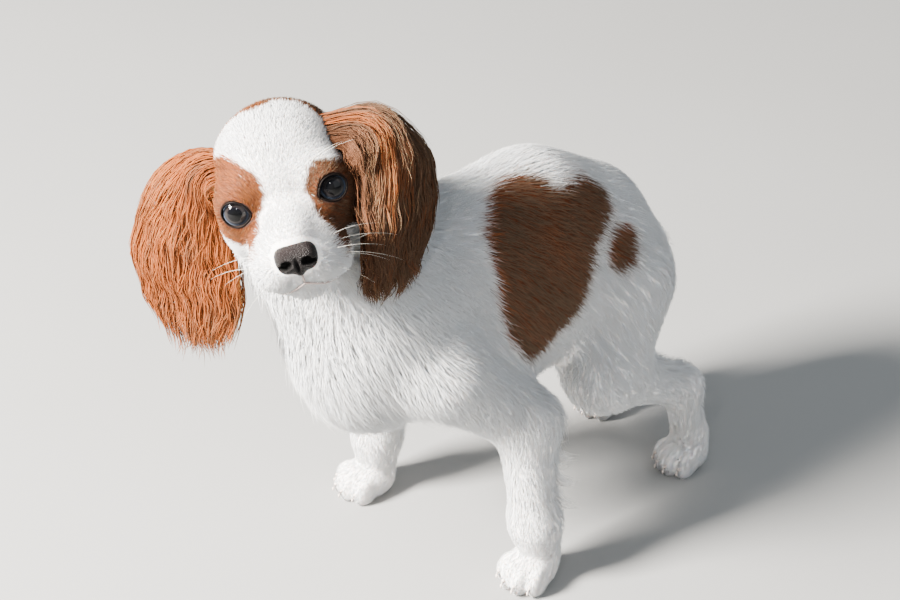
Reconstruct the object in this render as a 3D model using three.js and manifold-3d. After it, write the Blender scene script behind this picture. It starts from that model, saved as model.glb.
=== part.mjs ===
// A cavalier king charles spaniel puppy, life size, standing with its head turned to its left.
// Millimetres. +X is the dog's left, -Y its front, +Z up, and its soles rest on z = 0.
import * as THREE from "three";
import { mergeVertices } from "three/addons/utils/BufferGeometryUtils.js";
import Module from "manifold-3d";

const wasm = await Module();
wasm.setup();

// Driving dimensions
const WITHERS = 220; // height of the back over the forelegs
const GAP = 0.3; // air kept between neighbouring pieces
const PAW_CUT = 24; // height at which a paw is parted from its leg

// Landmarks of the skeleton, each [x, y, z]
const CHEST_FRONT = [-9, -30, 144];
const RIBS = [0, 38, 153];
const LOIN = [0, 88, 158];
const RUMP = [0, 120, 145];
const SPINE = [[0, 20, WITHERS - 25], [0, 72, WITHERS - 27], [0, 112, WITHERS - 44]];
const NECK_BASE = [-9, -20, 172];
const NECK_TOP = [-18, -60, 232];
const FORELEGS = {
  left: {
    shoulder: [34, -8, 142],
    elbow: [49, 32, 102],
    wrist: [57, 33, 38],
    paw: [58, 31, 9],
    turn: 10,
  },
  right: {
    shoulder: [-34, -12, 142],
    elbow: [-48, 18, 102],
    wrist: [-57, 12, 38],
    paw: [-59, 7, 9],
    turn: -8,
  },
};
const HINDLEGS = {
  left: {
    hip: [20, 118, 140],
    knee: [37, 96, 98],
    hock: [35, 158, 60],
    ankle: [34, 170, 20],
    paw: [35, 166, 8.5],
  },
  right: {
    hip: [-20, 118, 140],
    knee: [-37, 96, 98],
    hock: [-36, 158, 60],
    ankle: [-35, 170, 20],
    paw: [-36, 166, 8.5],
  },
};
const TAIL = [
  [0, 138, 158],
  [-3, 157, 153],
  [-9, 171, 141],
  [-15, 180, 124],
  [-20, 185, 106],
  [-24, 189, 90],
];
const TAIL_RADIUS = 8.5;

// The head's own frame has its origin in the middle of the skull, with the nose towards -Y
const HEAD_CENTRE = [-13, -71, 261];
const HEAD_YAW = 57;
const HEAD_PITCH = 8;
const HEAD_ROLL = -14;
const EYE = { at: [22.2, -25.5, -3.5], gaze: [0.3, -0.95, 0.06], radius: 8.6 };
const ORBIT = { radius: 11.5, deep: 2.6 };
const LID = { wide: 8.3, high: 7.7, thick: 1.3, forward: 4.9 };
const EYE_OPENING = [7.3, 6.8];
const NOSE = [0, -59.5, -19.5];

// Each ear hangs along a path; the width at each of its points is measured along its direction across
const EARS = {
  left: {
    path: [
      [-6, -50, 282],
      [13, -38, 285],
      [28, -34, 273],
      [34, -37, 257],
      [37, -41, 240],
      [37, -45, 224],
      [35, -47, 205],
    ],
    width: [13, 19, 25, 26, 24, 20, 8],
    across: [-0.05, 1, 0],
  },
  right: {
    path: [
      [-25, -92, 265],
      [-34, -100, 260],
      [-41, -105, 246],
      [-47, -107, 226],
      [-49, -108, 205],
      [-46, -106, 184],
      [-43, -105, 156],
    ],
    width: [13, 18, 21, 26, 30, 27, 10],
    across: [-0.875, -0.485, 0],
  },
};

const EAR_CUP = [0.5, 0.5, 0.45, 0.3, 0.2, 0.15, 0.1]; // depth of the cup for each mm of half width
const EAR_LEATHER = { long: 0.74, wide: 0.72, thick: [8, 7, 4, 2.6, 2.6, 2.6] };
const EAR_LOCK = { long: 0.4, wide: 19, lift: 4 };
const EAR_ROWS = [
  { from: 0.06, count: 3 },
  { from: 0.24, count: 4 },
  { from: 0.42, count: 4 },
  { from: 0.58, count: 4 },
  { from: 0.6, count: 2, inside: 1 },
];

// Locks of the body: their length, width, how far their tips stand off the surface under them, and how far
// that surface turns away before they hang free
const LOCK_SINK = 4;
const RUFF = { long: 36, wide: 21, lift: 5 };
const RUFF_HEIGHTS = [160, 138, 116];
const THROAT = { long: 26, wide: 17, lift: 5 };
const FEATHER = { long: 24, wide: 12, lift: 4 };
const TAIL_LOCK = { long: 29, wide: 13, lift: 5, hang: 0.4 };

// Planes between the pieces, each a point and the direction towards the piece further from the trunk
const HEAD_CUT = [[-12, -52, 228], [0, -0.63, 0.78]];
const NECK_CUT = [[-4, -24, 195], [-0.137, -0.549, 0.824]];
const FORELEG_CUT = { height: 84, lean: 24 };
const HINDLEG_CUT = { height: 112, lean: 30 };
const TAIL_CUT = { back: 157, height: 75 };

const rad = THREE.MathUtils.degToRad;
const { clamp, lerp } = THREE.MathUtils;
const vec = (p) => new THREE.Vector3(...p);
const headMatrix = new THREE.Matrix4()
  .makeRotationZ(rad(HEAD_YAW))
  .multiply(new THREE.Matrix4().makeRotationX(rad(-HEAD_PITCH)))
  .multiply(new THREE.Matrix4().makeRotationY(rad(HEAD_ROLL)))
  .setPosition(...HEAD_CENTRE);
const inHead = (p) => vec(p).applyMatrix4(headMatrix).toArray();

// A form is a function of a point that gives the distance to its surface, negative inside
function ellipsoid([cx, cy, cz], [rx, ry, rz], tilt = 0) {
  const c = Math.cos(rad(tilt));
  const s = Math.sin(rad(tilt));
  return (x, y, z) => {
    const dy = (y - cy) * c + (z - cz) * s;
    const dz = (z - cz) * c - (y - cy) * s;
    const dx = x - cx;
    const near = Math.hypot(dx / rx, dy / ry, dz / rz);
    const slope = Math.hypot(dx / (rx * rx), dy / (ry * ry), dz / (rz * rz));
    return slope < 1e-9 ? -Math.min(rx, ry, rz) : (near * (near - 1)) / slope;
  };
}

function bone([ax, ay, az], [bx, by, bz], ra, rb) {
  const [ux, uy, uz] = [bx - ax, by - ay, bz - az];
  const long2 = ux * ux + uy * uy + uz * uz;
  const taper = ra - rb;
  const flat = long2 - taper * taper;
  return (x, y, z) => {
    const [px, py, pz] = [x - ax, y - ay, z - az];
    const along = px * ux + py * uy + pz * uz;
    const past = along - long2;
    const qx = px * long2 - ux * along;
    const qy = py * long2 - uy * along;
    const qz = pz * long2 - uz * along;
    const x2 = qx * qx + qy * qy + qz * qz;
    const y2 = along * along * long2;
    const z2 = past * past * long2;
    const k = Math.sign(taper) * taper * taper * x2;
    if (Math.sign(past) * flat * z2 > k) return Math.sqrt(x2 + z2) / long2 - rb;
    if (Math.sign(along) * flat * y2 < k) return Math.sqrt(x2 + y2) / long2 - ra;
    return (Math.sqrt((x2 * flat) / long2) + along * taper) / long2 - ra;
  };
}

function melt(radius, ...forms) {
  return (x, y, z) => {
    let d = Infinity;
    for (const form of forms) {
      const e = form(x, y, z);
      const h = Math.max(radius - Math.abs(d - e), 0) / radius;
      d = d === Infinity ? e : Math.min(d, e) - (h * h * radius) / 4;
    }
    return d;
  };
}

function placed(matrix, form) {
  const back = matrix.clone().invert();
  const p = new THREE.Vector3();
  return (x, y, z) => form(...p.set(x, y, z).applyMatrix4(back).toArray());
}

const grown = (by, form) => (x, y, z) => form(x, y, z) - by;
const both = (make) => [make(1), make(-1)];

// The forms of the body
function foreleg({ shoulder, elbow, wrist, paw }) {
  return melt(
    12,
    bone(shoulder, elbow, 25, 17),
    bone(elbow, wrist, 16.5, 12.5),
    bone(wrist, [paw[0], paw[1] + 6, 16], 12.5, 11.5),
  );
}

function hindleg({ hip, knee, hock, ankle, paw }) {
  return melt(
    14,
    bone(hip, knee, 33, 22),
    bone(knee, hock, 20, 10.5),
    melt(6, bone(hock, ankle, 10.5, 10), bone(ankle, [paw[0], paw[1] + 4, 14], 10, 10)),
  );
}

const pawMatrix = ({ paw, turn = 0 }) => new THREE.Matrix4().makeRotationZ(rad(turn)).setPosition(...paw);

function pawForm(leg, long, wide) {
  const toes = [-1.5, -0.5, 0.5, 1.5].map((n) => {
    const forward = Math.abs(n) > 1 ? 0.46 : 0.72;
    return ellipsoid([n * wide * 0.5, -long * forward, -1.5], [wide * 0.29, long * 0.4, 9]);
  });
  return placed(pawMatrix(leg), melt(2.5, ellipsoid([0, 0, 0], [wide * 0.95, long * 0.9, 12]), ...toes));
}

const sided = ([x, y, z], s) => [s * x, y, z];
const orbitAt = (s) => sided(EYE.at.map((x, n) => x - ORBIT.deep * EYE.gaze[n]), s);
const headForm = placed(
  headMatrix,
  melt(
    9,
    ellipsoid([0, 4, 1], [33, 36, 31.5]),
    ellipsoid([0, -14, 4], [27, 19, 22.5]),
    ...both((s) => ellipsoid([s * 19, -7, -16], [16, 24, 18])),
    ...both((s) => ellipsoid([s * 18, -24, 6], [9, 8, 6])),
    ...both((s) => ellipsoid(orbitAt(s), Array(3).fill(ORBIT.radius))),
    bone([0, -24, -9], [0, -53, -13], 9, 8),
    ellipsoid([0, -39, -21], [20, 22, 15]),
    ...both((s) => ellipsoid([s * 11, -40, -29], [12, 17, 12.5])),
    bone([0, -8, -33], [0, -42, -39], 15, 9.5),
  ),
);
const noseForm = melt(
  3,
  ellipsoid([NOSE[0], NOSE[1] + 1, NOSE[2] + 2], [10.5, 6.5, 6.5]),
  ...both((s) => ellipsoid([s * 5.2, NOSE[1], NOSE[2] - 1.5], [5.8, 6.2, 6.2])),
  ellipsoid([NOSE[0], NOSE[1], NOSE[2] - 4.5], [3.6, 5, 5.5]),
);

const torsoForm = melt(
  24,
  ellipsoid(RIBS, [46, 72, 60], -2),
  ellipsoid(CHEST_FRONT, [40, 36, 48]),
  ellipsoid(LOIN, [39, 52, 46], -6),
  ellipsoid(RUMP, [38, 32, 40]),
  bone(SPINE[0], SPINE[1], 27, 26),
  bone(SPINE[1], SPINE[2], 26, 23),
);
const tailForm = melt(
  5,
  ...TAIL.slice(1).map((p, n) => bone(TAIL[n], p, TAIL_RADIUS - n, TAIL_RADIUS - 1 - n)),
);

const bodyForm = melt(
  14,
  melt(20, torsoForm, bone(NECK_BASE, NECK_TOP, 49, 36)),
  headForm,
  ...Object.values(FORELEGS).map(foreleg),
  ...Object.values(HINDLEGS).map(hindleg),
  tailForm,
);
const fleshForm = melt(
  3,
  bodyForm,
  ...Object.values(FORELEGS).map((leg) => pawForm(leg, 18, 14.5)),
  ...Object.values(HINDLEGS).map((leg) => pawForm(leg, 17, 13.5)),
);

// Grid lines from low to high whose spacing runs from one step to another
function gridLines(low, high, step, lastStep = step) {
  const lines = [low];
  while (lines.at(-1) < high) {
    const along = (lines.at(-1) - low) / (high - low);
    lines.push(lines.at(-1) + lerp(step, lastStep, along));
  }
  return lines;
}

// The corners, edges and faces of a grid cell; an edge is a pair of corners, a face a list of edges
const CORNERS = [0, 1, 2, 3, 4, 5, 6, 7].map((n) => [n & 1, (n >> 1) & 1, (n >> 2) & 1]);
const CELL_EDGES = [0, 1, 2].flatMap((axis) =>
  CORNERS.flatMap((corner, a) => (corner[axis] ? [] : [{ a, b: a | (1 << axis), axis }])),
);
const CELL_FACES = [0, 1, 2].flatMap((axis) =>
  [0, 1].map((side) =>
    CELL_EDGES.filter(({ a, b }) => CORNERS[a][axis] === side && CORNERS[b][axis] === side),
  ),
);

// Groups the crossed edges of a cell into the separate sheets of surface that pass through it
function sheetsOf(v) {
  const crossed = (edge) => v[edge.a] < 0 !== v[edge.b] < 0;
  const sheet = new Map(CELL_EDGES.filter(crossed).map((edge, n) => [edge, n]));
  const join = (p, q) => {
    const [from, to] = [sheet.get(p), sheet.get(q)];
    for (const [edge, n] of sheet) if (n === from) sheet.set(edge, to);
  };
  for (const face of CELL_FACES) {
    const cut = face.filter(crossed);
    if (cut.length === 2) join(...cut);
    if (cut.length === 4)
      for (let a = 0; a < 8; a++) {
        const pair = cut.filter((edge) => edge.a === a || edge.b === a);
        if (v[a] < 0 && pair.length === 2) join(...pair);
      }
  }
  return [...new Set(sheet.values())].map((n) => [...sheet.keys()].filter((edge) => sheet.get(edge) === n));
}

// A closed mesh of a form, with one vertex for each sheet of its surface in each cell of the grid
function netOf(form, lines) {
  const [xs, ys, zs] = lines;
  const size = lines.map((l) => l.length);
  const at = (i, j, k) => (i * size[1] + j) * size[2] + k;
  const value = new Float64Array(size[0] * size[1] * size[2]);
  xs.forEach((x, i) => ys.forEach((y, j) => zs.forEach((z, k) => {
    const onEdge = [i, j, k].some((n, axis) => n === 0 || n === size[axis] - 1);
    value[at(i, j, k)] = onEdge ? Math.max(form(x, y, z), 0.01) : form(x, y, z);
  })));
  const points = [];
  const vertexOf = new Map();
  for (let i = 0; i < size[0] - 1; i++)
    for (let j = 0; j < size[1] - 1; j++)
      for (let k = 0; k < size[2] - 1; k++) {
        const v = CORNERS.map(([a, b, c]) => value[at(i + a, j + b, k + c)]);
        if (v.every((d) => d < 0) || v.every((d) => d >= 0)) continue;
        const cell = [[xs[i], xs[i + 1]], [ys[j], ys[j + 1]], [zs[k], zs[k + 1]]];
        for (const sheet of sheetsOf(v)) {
          const mean = [0, 1, 2].map((axis) => {
            const crossings = sheet.map(({ a, b }) =>
              lerp(CORNERS[a][axis], CORNERS[b][axis], v[a] / (v[a] - v[b])),
            );
            return crossings.reduce((sum, t) => sum + t, 0) / sheet.length;
          });
          for (const { a, axis } of sheet) vertexOf.set(at(i, j, k) * 24 + a * 3 + axis, points.length);
          points.push(drawnTo(form, mean.map((t, axis) => lerp(...cell[axis], t)), cell));
        }
      }
  const faces = [];
  const apart = (m, n) => Math.hypot(...points[m].map((x, axis) => x - points[n][axis]));
  const step = [at(1, 0, 0), at(0, 1, 0), at(0, 0, 1)];
  for (let i = 0; i < size[0] - 1; i++)
    for (let j = 0; j < size[1] - 1; j++)
      for (let k = 0; k < size[2] - 1; k++)
        for (let axis = 0; axis < 3; axis++) {
          if ([i, j, k].some((n, other) => n === 0 && other !== axis)) continue;
          const here = at(i, j, k);
          const inside = value[here] < 0;
          if (inside === value[here + step[axis]] < 0) continue;
          const [u, w] = [(axis + 1) % 3, (axis + 2) % 3];
          const ring = [[0, 0], [1, 0], [1, 1], [0, 1]].map(([m, n]) =>
            vertexOf.get((here - m * step[u] - n * step[w]) * 24 + ((m << u) | (n << w)) * 3 + axis));
          if (!inside) ring.reverse();
          const [p, q, r, s] = ring;
          faces.push(...(apart(p, r) < apart(q, s) ? [p, q, r, p, r, s] : [q, r, s, q, s, p]));
        }
  return new THREE.BufferGeometry()
    .setAttribute("position", new THREE.Float32BufferAttribute(points.flat(), 3))
    .setIndex(faces);
}

// Moves a point onto the surface of a form, staying in its cell
function drawnTo(form, point, cell) {
  let p = point;
  for (let n = 0; n < 2; n++) {
    const d = form(...p);
    const slope = [0, 1, 2].map((axis) => {
      const q = [...p];
      q[axis] += 0.1;
      return (form(...q) - d) / 0.1;
    });
    const steep = Math.max(slope[0] ** 2 + slope[1] ** 2 + slope[2] ** 2, 0.1);
    p = p.map((x, axis) => clamp(x - (d * slope[axis]) / steep, cell[axis][0] + 0.05, cell[axis][1] - 0.05));
  }
  return p;
}

// A closed three.js geometry as a solid for joining and cutting, and back
function solidOf(geometry) {
  const bare = geometry.clone();
  for (const name of Object.keys(bare.attributes)) if (name !== "position") bare.deleteAttribute(name);
  const merged = mergeVertices(bare, 1e-4);
  return new wasm.Manifold(
    new wasm.Mesh({
      numProp: 3,
      vertProperties: merged.attributes.position.array,
      triVerts: new Uint32Array(merged.index.array),
    }),
  );
}

function geometryOf(solid) {
  const { vertProperties, triVerts } = solid.getMesh();
  return new THREE.BufferGeometry()
    .setAttribute("position", new THREE.BufferAttribute(new Float32Array(vertProperties), 3))
    .setIndex(new THREE.BufferAttribute(new Uint32Array(triVerts), 1));
}

const largest = (solid) => solid.decompose().sort((a, b) => b.volume() - a.volume())[0];

// The solid of a form inside a box of a frame, on a grid with one step or a [first, last] step for each axis
function net(form, low, high, steps, frame = new THREE.Matrix4()) {
  const lines = low.map((l, axis) => gridLines(l, high[axis], ...[steps[axis]].flat()));
  return solidOf(netOf(placed(frame.clone().invert(), form), lines).applyMatrix4(frame));
}

function boxSolid(low, high, frame = new THREE.Matrix4()) {
  const size = high.map((h, axis) => h - low[axis]);
  const middle = high.map((h, axis) => (h + low[axis]) / 2);
  return solidOf(new THREE.BoxGeometry(...size).translate(...middle).applyMatrix4(frame));
}

// A frame at a point whose Z axis runs along a direction
function frameAt(point, direction, up = [0, 0, 1]) {
  return new THREE.Matrix4().lookAt(vec(direction), vec([0, 0, 0]), vec(up)).setPosition(...point);
}

// Everything beyond a plane, or short of it
const beyond = ([point, direction]) =>
  boxSolid([-300, -300, GAP / 2], [300, 300, 400], frameAt(point, direction));
const shortOf = ([point, direction]) =>
  boxSolid([-300, -300, -400], [300, 300, -GAP / 2], frameAt(point, direction));

// The middle of a path at t in 0..1, the way it runs, and the directions of its width and its face
function alongPath(path, across) {
  const curve = new THREE.CatmullRomCurve3(path.map(vec), false, "catmullrom");
  return (t) => {
    const run = curve.getTangent(t);
    const face = run.clone().cross(across(t)).normalize();
    return { at: curve.getPoint(t), run, face, wide: face.clone().cross(run) };
  };
}

// A closed body along a path; section gives its half width, half thickness and cup at t in 0..1
function bent(path, across, section, sides, steps) {
  const frameOf = alongPath(path, across);
  const points = [];
  const faces = [];
  for (let i = 0; i <= steps; i++) {
    const { at, wide, face } = frameOf(i / steps);
    const [width, thickness, cup = 0] = section(i / steps);
    for (let j = 0; j < sides; j++) {
      const u = -Math.sin((2 * Math.PI * j) / sides);
      const v = Math.cos((2 * Math.PI * j) / sides);
      const height = v * thickness - cup * u * u;
      points.push(...at.clone().addScaledVector(wide, u * width).addScaledVector(face, height));
      const [a, b] = [i * sides + j, i * sides + ((j + 1) % sides)];
      if (i < steps) faces.push(a, b, b + sides, a, b + sides, a + sides);
      if (j > 0 && j < sides - 1 && i === 0) faces.push(0, b, a);
      if (j > 0 && j < sides - 1 && i === steps) faces.push(i * sides, a, b);
    }
  }
  const geometry = new THREE.BufferGeometry()
    .setAttribute("position", new THREE.Float32BufferAttribute(points, 3))
    .setIndex(faces);
  return solidOf(geometry);
}

// Value of a list of numbers spread evenly over t in 0..1
function spread(list, t) {
  const n = Math.min(Math.floor(t * (list.length - 1)), list.length - 2);
  return lerp(list[n], list[n + 1], t * (list.length - 1) - n);
}

// A draw between -size and size that is the same each time the file runs
let seed = 7;
function vary(size) {
  seed = (seed * 48271) % 2147483647;
  return size * (2 * (seed / 2147483647) - 1);
}

// A flat lock of hair with a ridge, along points from inside its root to its tip
function lock(points, across, wide) {
  const section = (t) => [
    wide * spread([0.4, 0.58, 0.5, 0.3, 0.05], t),
    wide * spread([0.2, 0.24, 0.2, 0.13, 0.04], t),
  ];
  return bent(points, across, section, 3, 3);
}

// The slope of a form at a point, of length 1
function slopeOf(form, p) {
  const d = form(...p);
  return vec([0, 1, 2].map((axis) => form(...p.map((x, n) => (n === axis ? x + 0.2 : x))) - d)).normalize();
}

// A lock that starts on a form where a ray from inside it comes out, creeps over it the way it lies, and
// hangs free once the form turns away under it
function lockOn(form, [inside, direction], lie, { long, wide, lift, hang = 0.9 }) {
  const ray = vec(direction).normalize();
  let reach = 0;
  for (let step = 32; step > 0.05; step /= 2)
    if (form(...vec(inside).addScaledVector(ray, reach + step)) < 0) reach += step;
  let p = vec(inside).addScaledVector(ray, reach);
  const steps = 4;
  const stride = (long * (1 + vary(0.15))) / steps;
  const way = vec(lie).add(vec([vary(0.15), vary(0.15), vary(0.1)])).normalize();
  const points = [];
  let normal = slopeOf(form, p.toArray());
  let free = false;
  const side = way.clone().cross(normal);
  for (let n = 0; n <= steps; n++) {
    const height = lerp(-LOCK_SINK, lift, Math.min(n / (steps - 1), 1));
    points.push(p.clone().addScaledVector(normal, height).toArray());
    free ||= way.dot(normal) > hang;
    const onward = free ? way : way.clone().addScaledVector(normal, -way.dot(normal)).normalize();
    p = p.clone().addScaledVector(onward, stride);
    if (free) continue;
    p = vec(drawnTo(form, p.toArray(), Array(3).fill([-Infinity, Infinity])));
    normal = slopeOf(form, p.toArray());
  }
  return lock(points, () => side, wide * (1 + vary(0.15)));
}

// Materials
const material = (name, color, roughness = 0.85) =>
  new THREE.MeshStandardMaterial({ name, color, roughness, metalness: 0 });
const WHITE = material("white_coat", 0xf1ece4);
const CHESTNUT = material("chestnut_coat", 0x9c5127);
const EYEBALL = material("eye", 0x1c1512, 0.1);
const LEATHER = material("nose_leather", 0x2b2223, 0.45);

const dog = new THREE.Group();
dog.name = "cavalier_puppy";

function addNode(name, solid, coat) {
  const mesh = new THREE.Mesh(geometryOf(largest(solid)), coat);
  mesh.name = name;
  dog.add(mesh);
}

// Head
const eyeMatrix = (s) =>
  headMatrix.clone().multiply(frameAt(sided(EYE.at, s), sided(EYE.gaze, s)));
const ball = (s, radius) => solidOf(new THREE.SphereGeometry(radius, 14, 9).applyMatrix4(eyeMatrix(s)));
const lid = (s) =>
  solidOf(
    new THREE.TorusGeometry(LID.wide, LID.thick, 5, 18)
      .scale(1, LID.high / LID.wide, 1)
      .translate(0, 0, LID.forward)
      .applyMatrix4(eyeMatrix(s)),
  );
const opening = (s) =>
  solidOf(
    new THREE.CylinderGeometry(1.1, 1, 16, 18)
      .rotateX(Math.PI / 2)
      .scale(EYE_OPENING[0], EYE_OPENING[1], 1)
      .translate(0, 0, 11)
      .applyMatrix4(eyeMatrix(s)),
  );
const groove = (points, radius) =>
  bent(
    points.map((p) => drawnTo(headForm, inHead(p), Array(3).fill([-Infinity, Infinity]))),
    () => vec([0, 0, 1]),
    () => [radius, radius],
    4,
    points.length * 2,
  );
const LIP = [[21, -22, -31], [19, -34, -37], [14, -46, -39], [7, -55, -37], [0, -58, -34]];
const mouth = groove([...LIP, ...LIP.slice(0, -1).reverse().map((p) => sided(p, -1))], 0.9);
const philtrum = groove([[0, -60, -26], [0, -59, -30], [0, -58, -34]], 0.8);
const noseAt = (by) =>
  net(placed(headMatrix, grown(by, noseForm)), [-14, -70, -33], [14, -48, -9], [3, 3, 3], headMatrix);
const nostril = (s) =>
  solidOf(
    new THREE.SphereGeometry(1, 10, 8)
      .scale(2.6, 3.6, 2)
      .rotateY(rad(s * 28))
      .translate(s * 5, NOSE[1] - 6, NOSE[2] - 1.2)
      .applyMatrix4(headMatrix),
  );

const skull = net(fleshForm, [-46, -68, -58], [46, 54, 42], [5, [3.6, 7.6], 4.9], headMatrix);
addNode(
  "head",
  skull
    .add(lid(1))
    .add(lid(-1))
    .intersect(beyond(HEAD_CUT))
    .subtract(ball(1, EYE.radius + GAP))
    .subtract(ball(-1, EYE.radius + GAP))
    .subtract(opening(1))
    .subtract(opening(-1))
    .subtract(noseAt(GAP))
    .subtract(mouth)
    .subtract(philtrum),
  WHITE,
);
addNode("nose", noseAt(0).subtract(nostril(1)).subtract(nostril(-1)), LEATHER);
addNode("eye_left", ball(1, EYE.radius), EYEBALL);
addNode("eye_right", ball(-1, EYE.radius), EYEBALL);

// Ears: a cupped leaf of leather under rows of long waved locks
const nearHead = net(grown(GAP + 0.2, fleshForm), [-60, -60, -90], [60, 64, 46], [4, 4, 4], headMatrix);
const rearward = vec([0, 1, 0]).transformDirection(headMatrix);
for (const [name, s] of [["left", 1], ["right", -1]]) {
  const { path, width, across } = EARS[name];
  const turning = (t) => rearward.clone().lerp(vec(across), THREE.MathUtils.smoothstep(t, 0, 0.45));
  const cup = (t) => s * spread(EAR_CUP, t) * spread(width, t);
  const frameOf = alongPath(path, turning);
  const onLeaf = (t, u, height) => {
    const { at, wide, face } = frameOf(Math.min(t, 1));
    at.addScaledVector(wide, u * spread(width, t));
    return at.addScaledVector(face, s * height - cup(t) * u * u).toArray();
  };
  const rounded = (t) => Math.sqrt(Math.max(1 - Math.max((t - 0.5) / 0.5, 0) ** 2, 0.02));
  const leather = bent(
    Array.from({ length: 9 }, (_, n) => frameOf((n / 8) * EAR_LEATHER.long).at.toArray()),
    (t) => turning(t * EAR_LEATHER.long),
    (t) => [
      spread(width, t * EAR_LEATHER.long) * EAR_LEATHER.wide * rounded(t),
      spread(EAR_LEATHER.thick, t) * rounded(t),
      0.5 * cup(t),
    ],
    8,
    8,
  );
  const locks = [];
  EAR_ROWS.forEach(({ from, count, inside = 0 }, row) => {
    for (let n = 0; n < count; n++) {
      const u = lerp(-0.85, 0.85, (n + 0.5 * (row % 2)) / (count - 0.5)) + vary(0.06);
      const long = EAR_LOCK.long * (1 + vary(0.15));
      const lift = inside ? -EAR_LOCK.lift : EAR_LOCK.lift * (1 + vary(0.3));
      const wave = vary(1) * Math.PI;
      const points = [0, 0.25, 0.5, 0.75, 1].map((k) => {
        const t = Math.min(from + vary(0.01) + k * long, 1 + 0.02 * k);
        const core = t < EAR_LEATHER.long ? 1 : EAR_LEATHER.wide * 1.1;
        const spreadOut = u * lerp(EAR_LEATHER.wide * 0.86, core, k) + 0.05 * Math.sin(wave + 5 * k) * k;
        const swell = spread(EAR_LEATHER.thick, Math.min(t / EAR_LEATHER.long, 1)) - EAR_LEATHER.thick.at(-1);
        const base = 0.6 * swell;
        const height = lerp(base, base + lift, Math.min(2.2 * k, 1)) + 0.8 * Math.sin(wave + 6 * k) * k;
        return onLeaf(t, spreadOut, height);
      });
      locks.push(lock(points, () => frameOf(Math.min(from + 0.1, 0.9)).wide, EAR_LOCK.wide));
    }
  });
  addNode("ear_" + name, leather.add(wasm.Manifold.union(locks)).subtract(nearHead), CHESTNUT);
}

// Neck, with short locks on the throat
const throat = [];
for (const [row, height] of [216, 200].entries())
  for (let n = 0; n < 4; n++) {
    const turn = rad(lerp(-150, -15, (n + 0.5 * row) / 3.5));
    const root = [[-10, -44, height], [Math.cos(turn), Math.sin(turn), 0]];
    throat.push(lockOn(bodyForm, root, [0, 0, -1], THROAT));
  }
addNode(
  "neck",
  net(fleshForm, [-70, -105, 125], [60, 45, 262], [9, 9, 8.5])
    .add(wasm.Manifold.union(throat))
    .intersect(shortOf(HEAD_CUT))
    .intersect(beyond(NECK_CUT)),
  WHITE,
);

// The region of a leg on side s, below a leaning cut and between two distances along the trunk
function limbRegion({ height, lean }, middle, [back, front], s, grow) {
  const direction = [s * Math.sin(rad(lean)), 0, -Math.cos(rad(lean))];
  const column = [s * 4, s * 110].sort((m, n) => m - n);
  const cut = frameAt([s * middle, 0, height], direction, [0, 1, 0]);
  return boxSolid([column[0] - grow, back - grow, -20], [column[1] + grow, front + grow, 160])
    .intersect(boxSolid([-300, -300, GAP / 2 - grow], [300, 300, 400], cut));
}
const limbRegions = (grow) => [
  ...both((s) => limbRegion(FORELEG_CUT, 46, [-60, 74], s, grow)),
  ...both((s) => limbRegion(HINDLEG_CUT, 32, [72, 220], s, grow)),
];
// Trunk, with the ruff of the chest and the feathering of the brisket and the seat
const ruff = [];
for (const [row, height] of RUFF_HEIGHTS.entries())
  for (let n = 0; n < 6; n++) {
    const turn = rad(lerp(-165, -15, (n + 0.5 * (row % 2)) / 5.5));
    const root = [[-5, -14, height], [Math.cos(turn), Math.sin(turn), 0]];
    ruff.push(lockOn(torsoForm, root, [0, 0.25, -1], RUFF));
  }
const trunk = net(fleshForm, [-66, -90, 60], [66, 170, 240], [11, 12, 11]);
addNode(
  "torso",
  limbRegions(GAP).reduce(
    (solid, region) => solid.subtract(region),
    trunk
      .add(wasm.Manifold.union(ruff))
      .intersect(shortOf(NECK_CUT))
      .intersect(boxSolid([-100, -200, 0], [100, TAIL_CUT.back - GAP, 400])),
  ),
  WHITE,
);

// Tail, with locks along its underside and past its end
const tailLocks = [];
TAIL.slice(2).forEach((p, n) => {
  for (const turn of n === 3 ? [50, 200] : [85 + 40 * (n % 2 ? 1 : -1)]) {
    const out = [Math.cos(rad(turn)), -Math.sin(rad(turn)), 0.1];
    tailLocks.push(lockOn(tailForm, [p, out], [-0.1, 0.25, -1], TAIL_LOCK));
  }
});
addNode(
  "tail",
  net(fleshForm, [-44, 148, 66], [14, 200, 180], [6, 6, 7])
    .add(wasm.Manifold.union(tailLocks))
    .intersect(boxSolid([-100, TAIL_CUT.back, 0], [100, 300, 300])),
  WHITE,
);

// Legs and paws, with feathering behind the elbows and the thighs
const featherOf = (leg) => {
  const isFore = "elbow" in leg;
  const form = isFore ? foreleg(leg) : hindleg(leg);
  const [top, bottom] = isFore ? [leg.elbow, leg.wrist] : [leg.knee, leg.hock];
  const locks = [];
  for (const [row, t] of (isFore ? [0.3, 0.52] : [0.2, 0.42]).entries())
    for (let n = 0; n < 2; n++) {
      const inside = top.map((x, axis) => lerp(x, bottom[axis], t));
      const out = [lerp(-0.5, 0.5, n) + 0.25 * (row - 0.5), 1, isFore ? 0 : 0.5];
      locks.push(lockOn(form, [inside, out], [0, isFore ? 0.3 : 0.4, -1], FEATHER));
    }
  return wasm.Manifold.union(locks);
};
const PIECES = [
  ["foreleg_left", "forepaw_left", FORELEGS.left],
  ["foreleg_right", "forepaw_right", FORELEGS.right],
  ["hindleg_left", "hindpaw_left", HINDLEGS.left],
  ["hindleg_right", "hindpaw_right", HINDLEGS.right],
];
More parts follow.
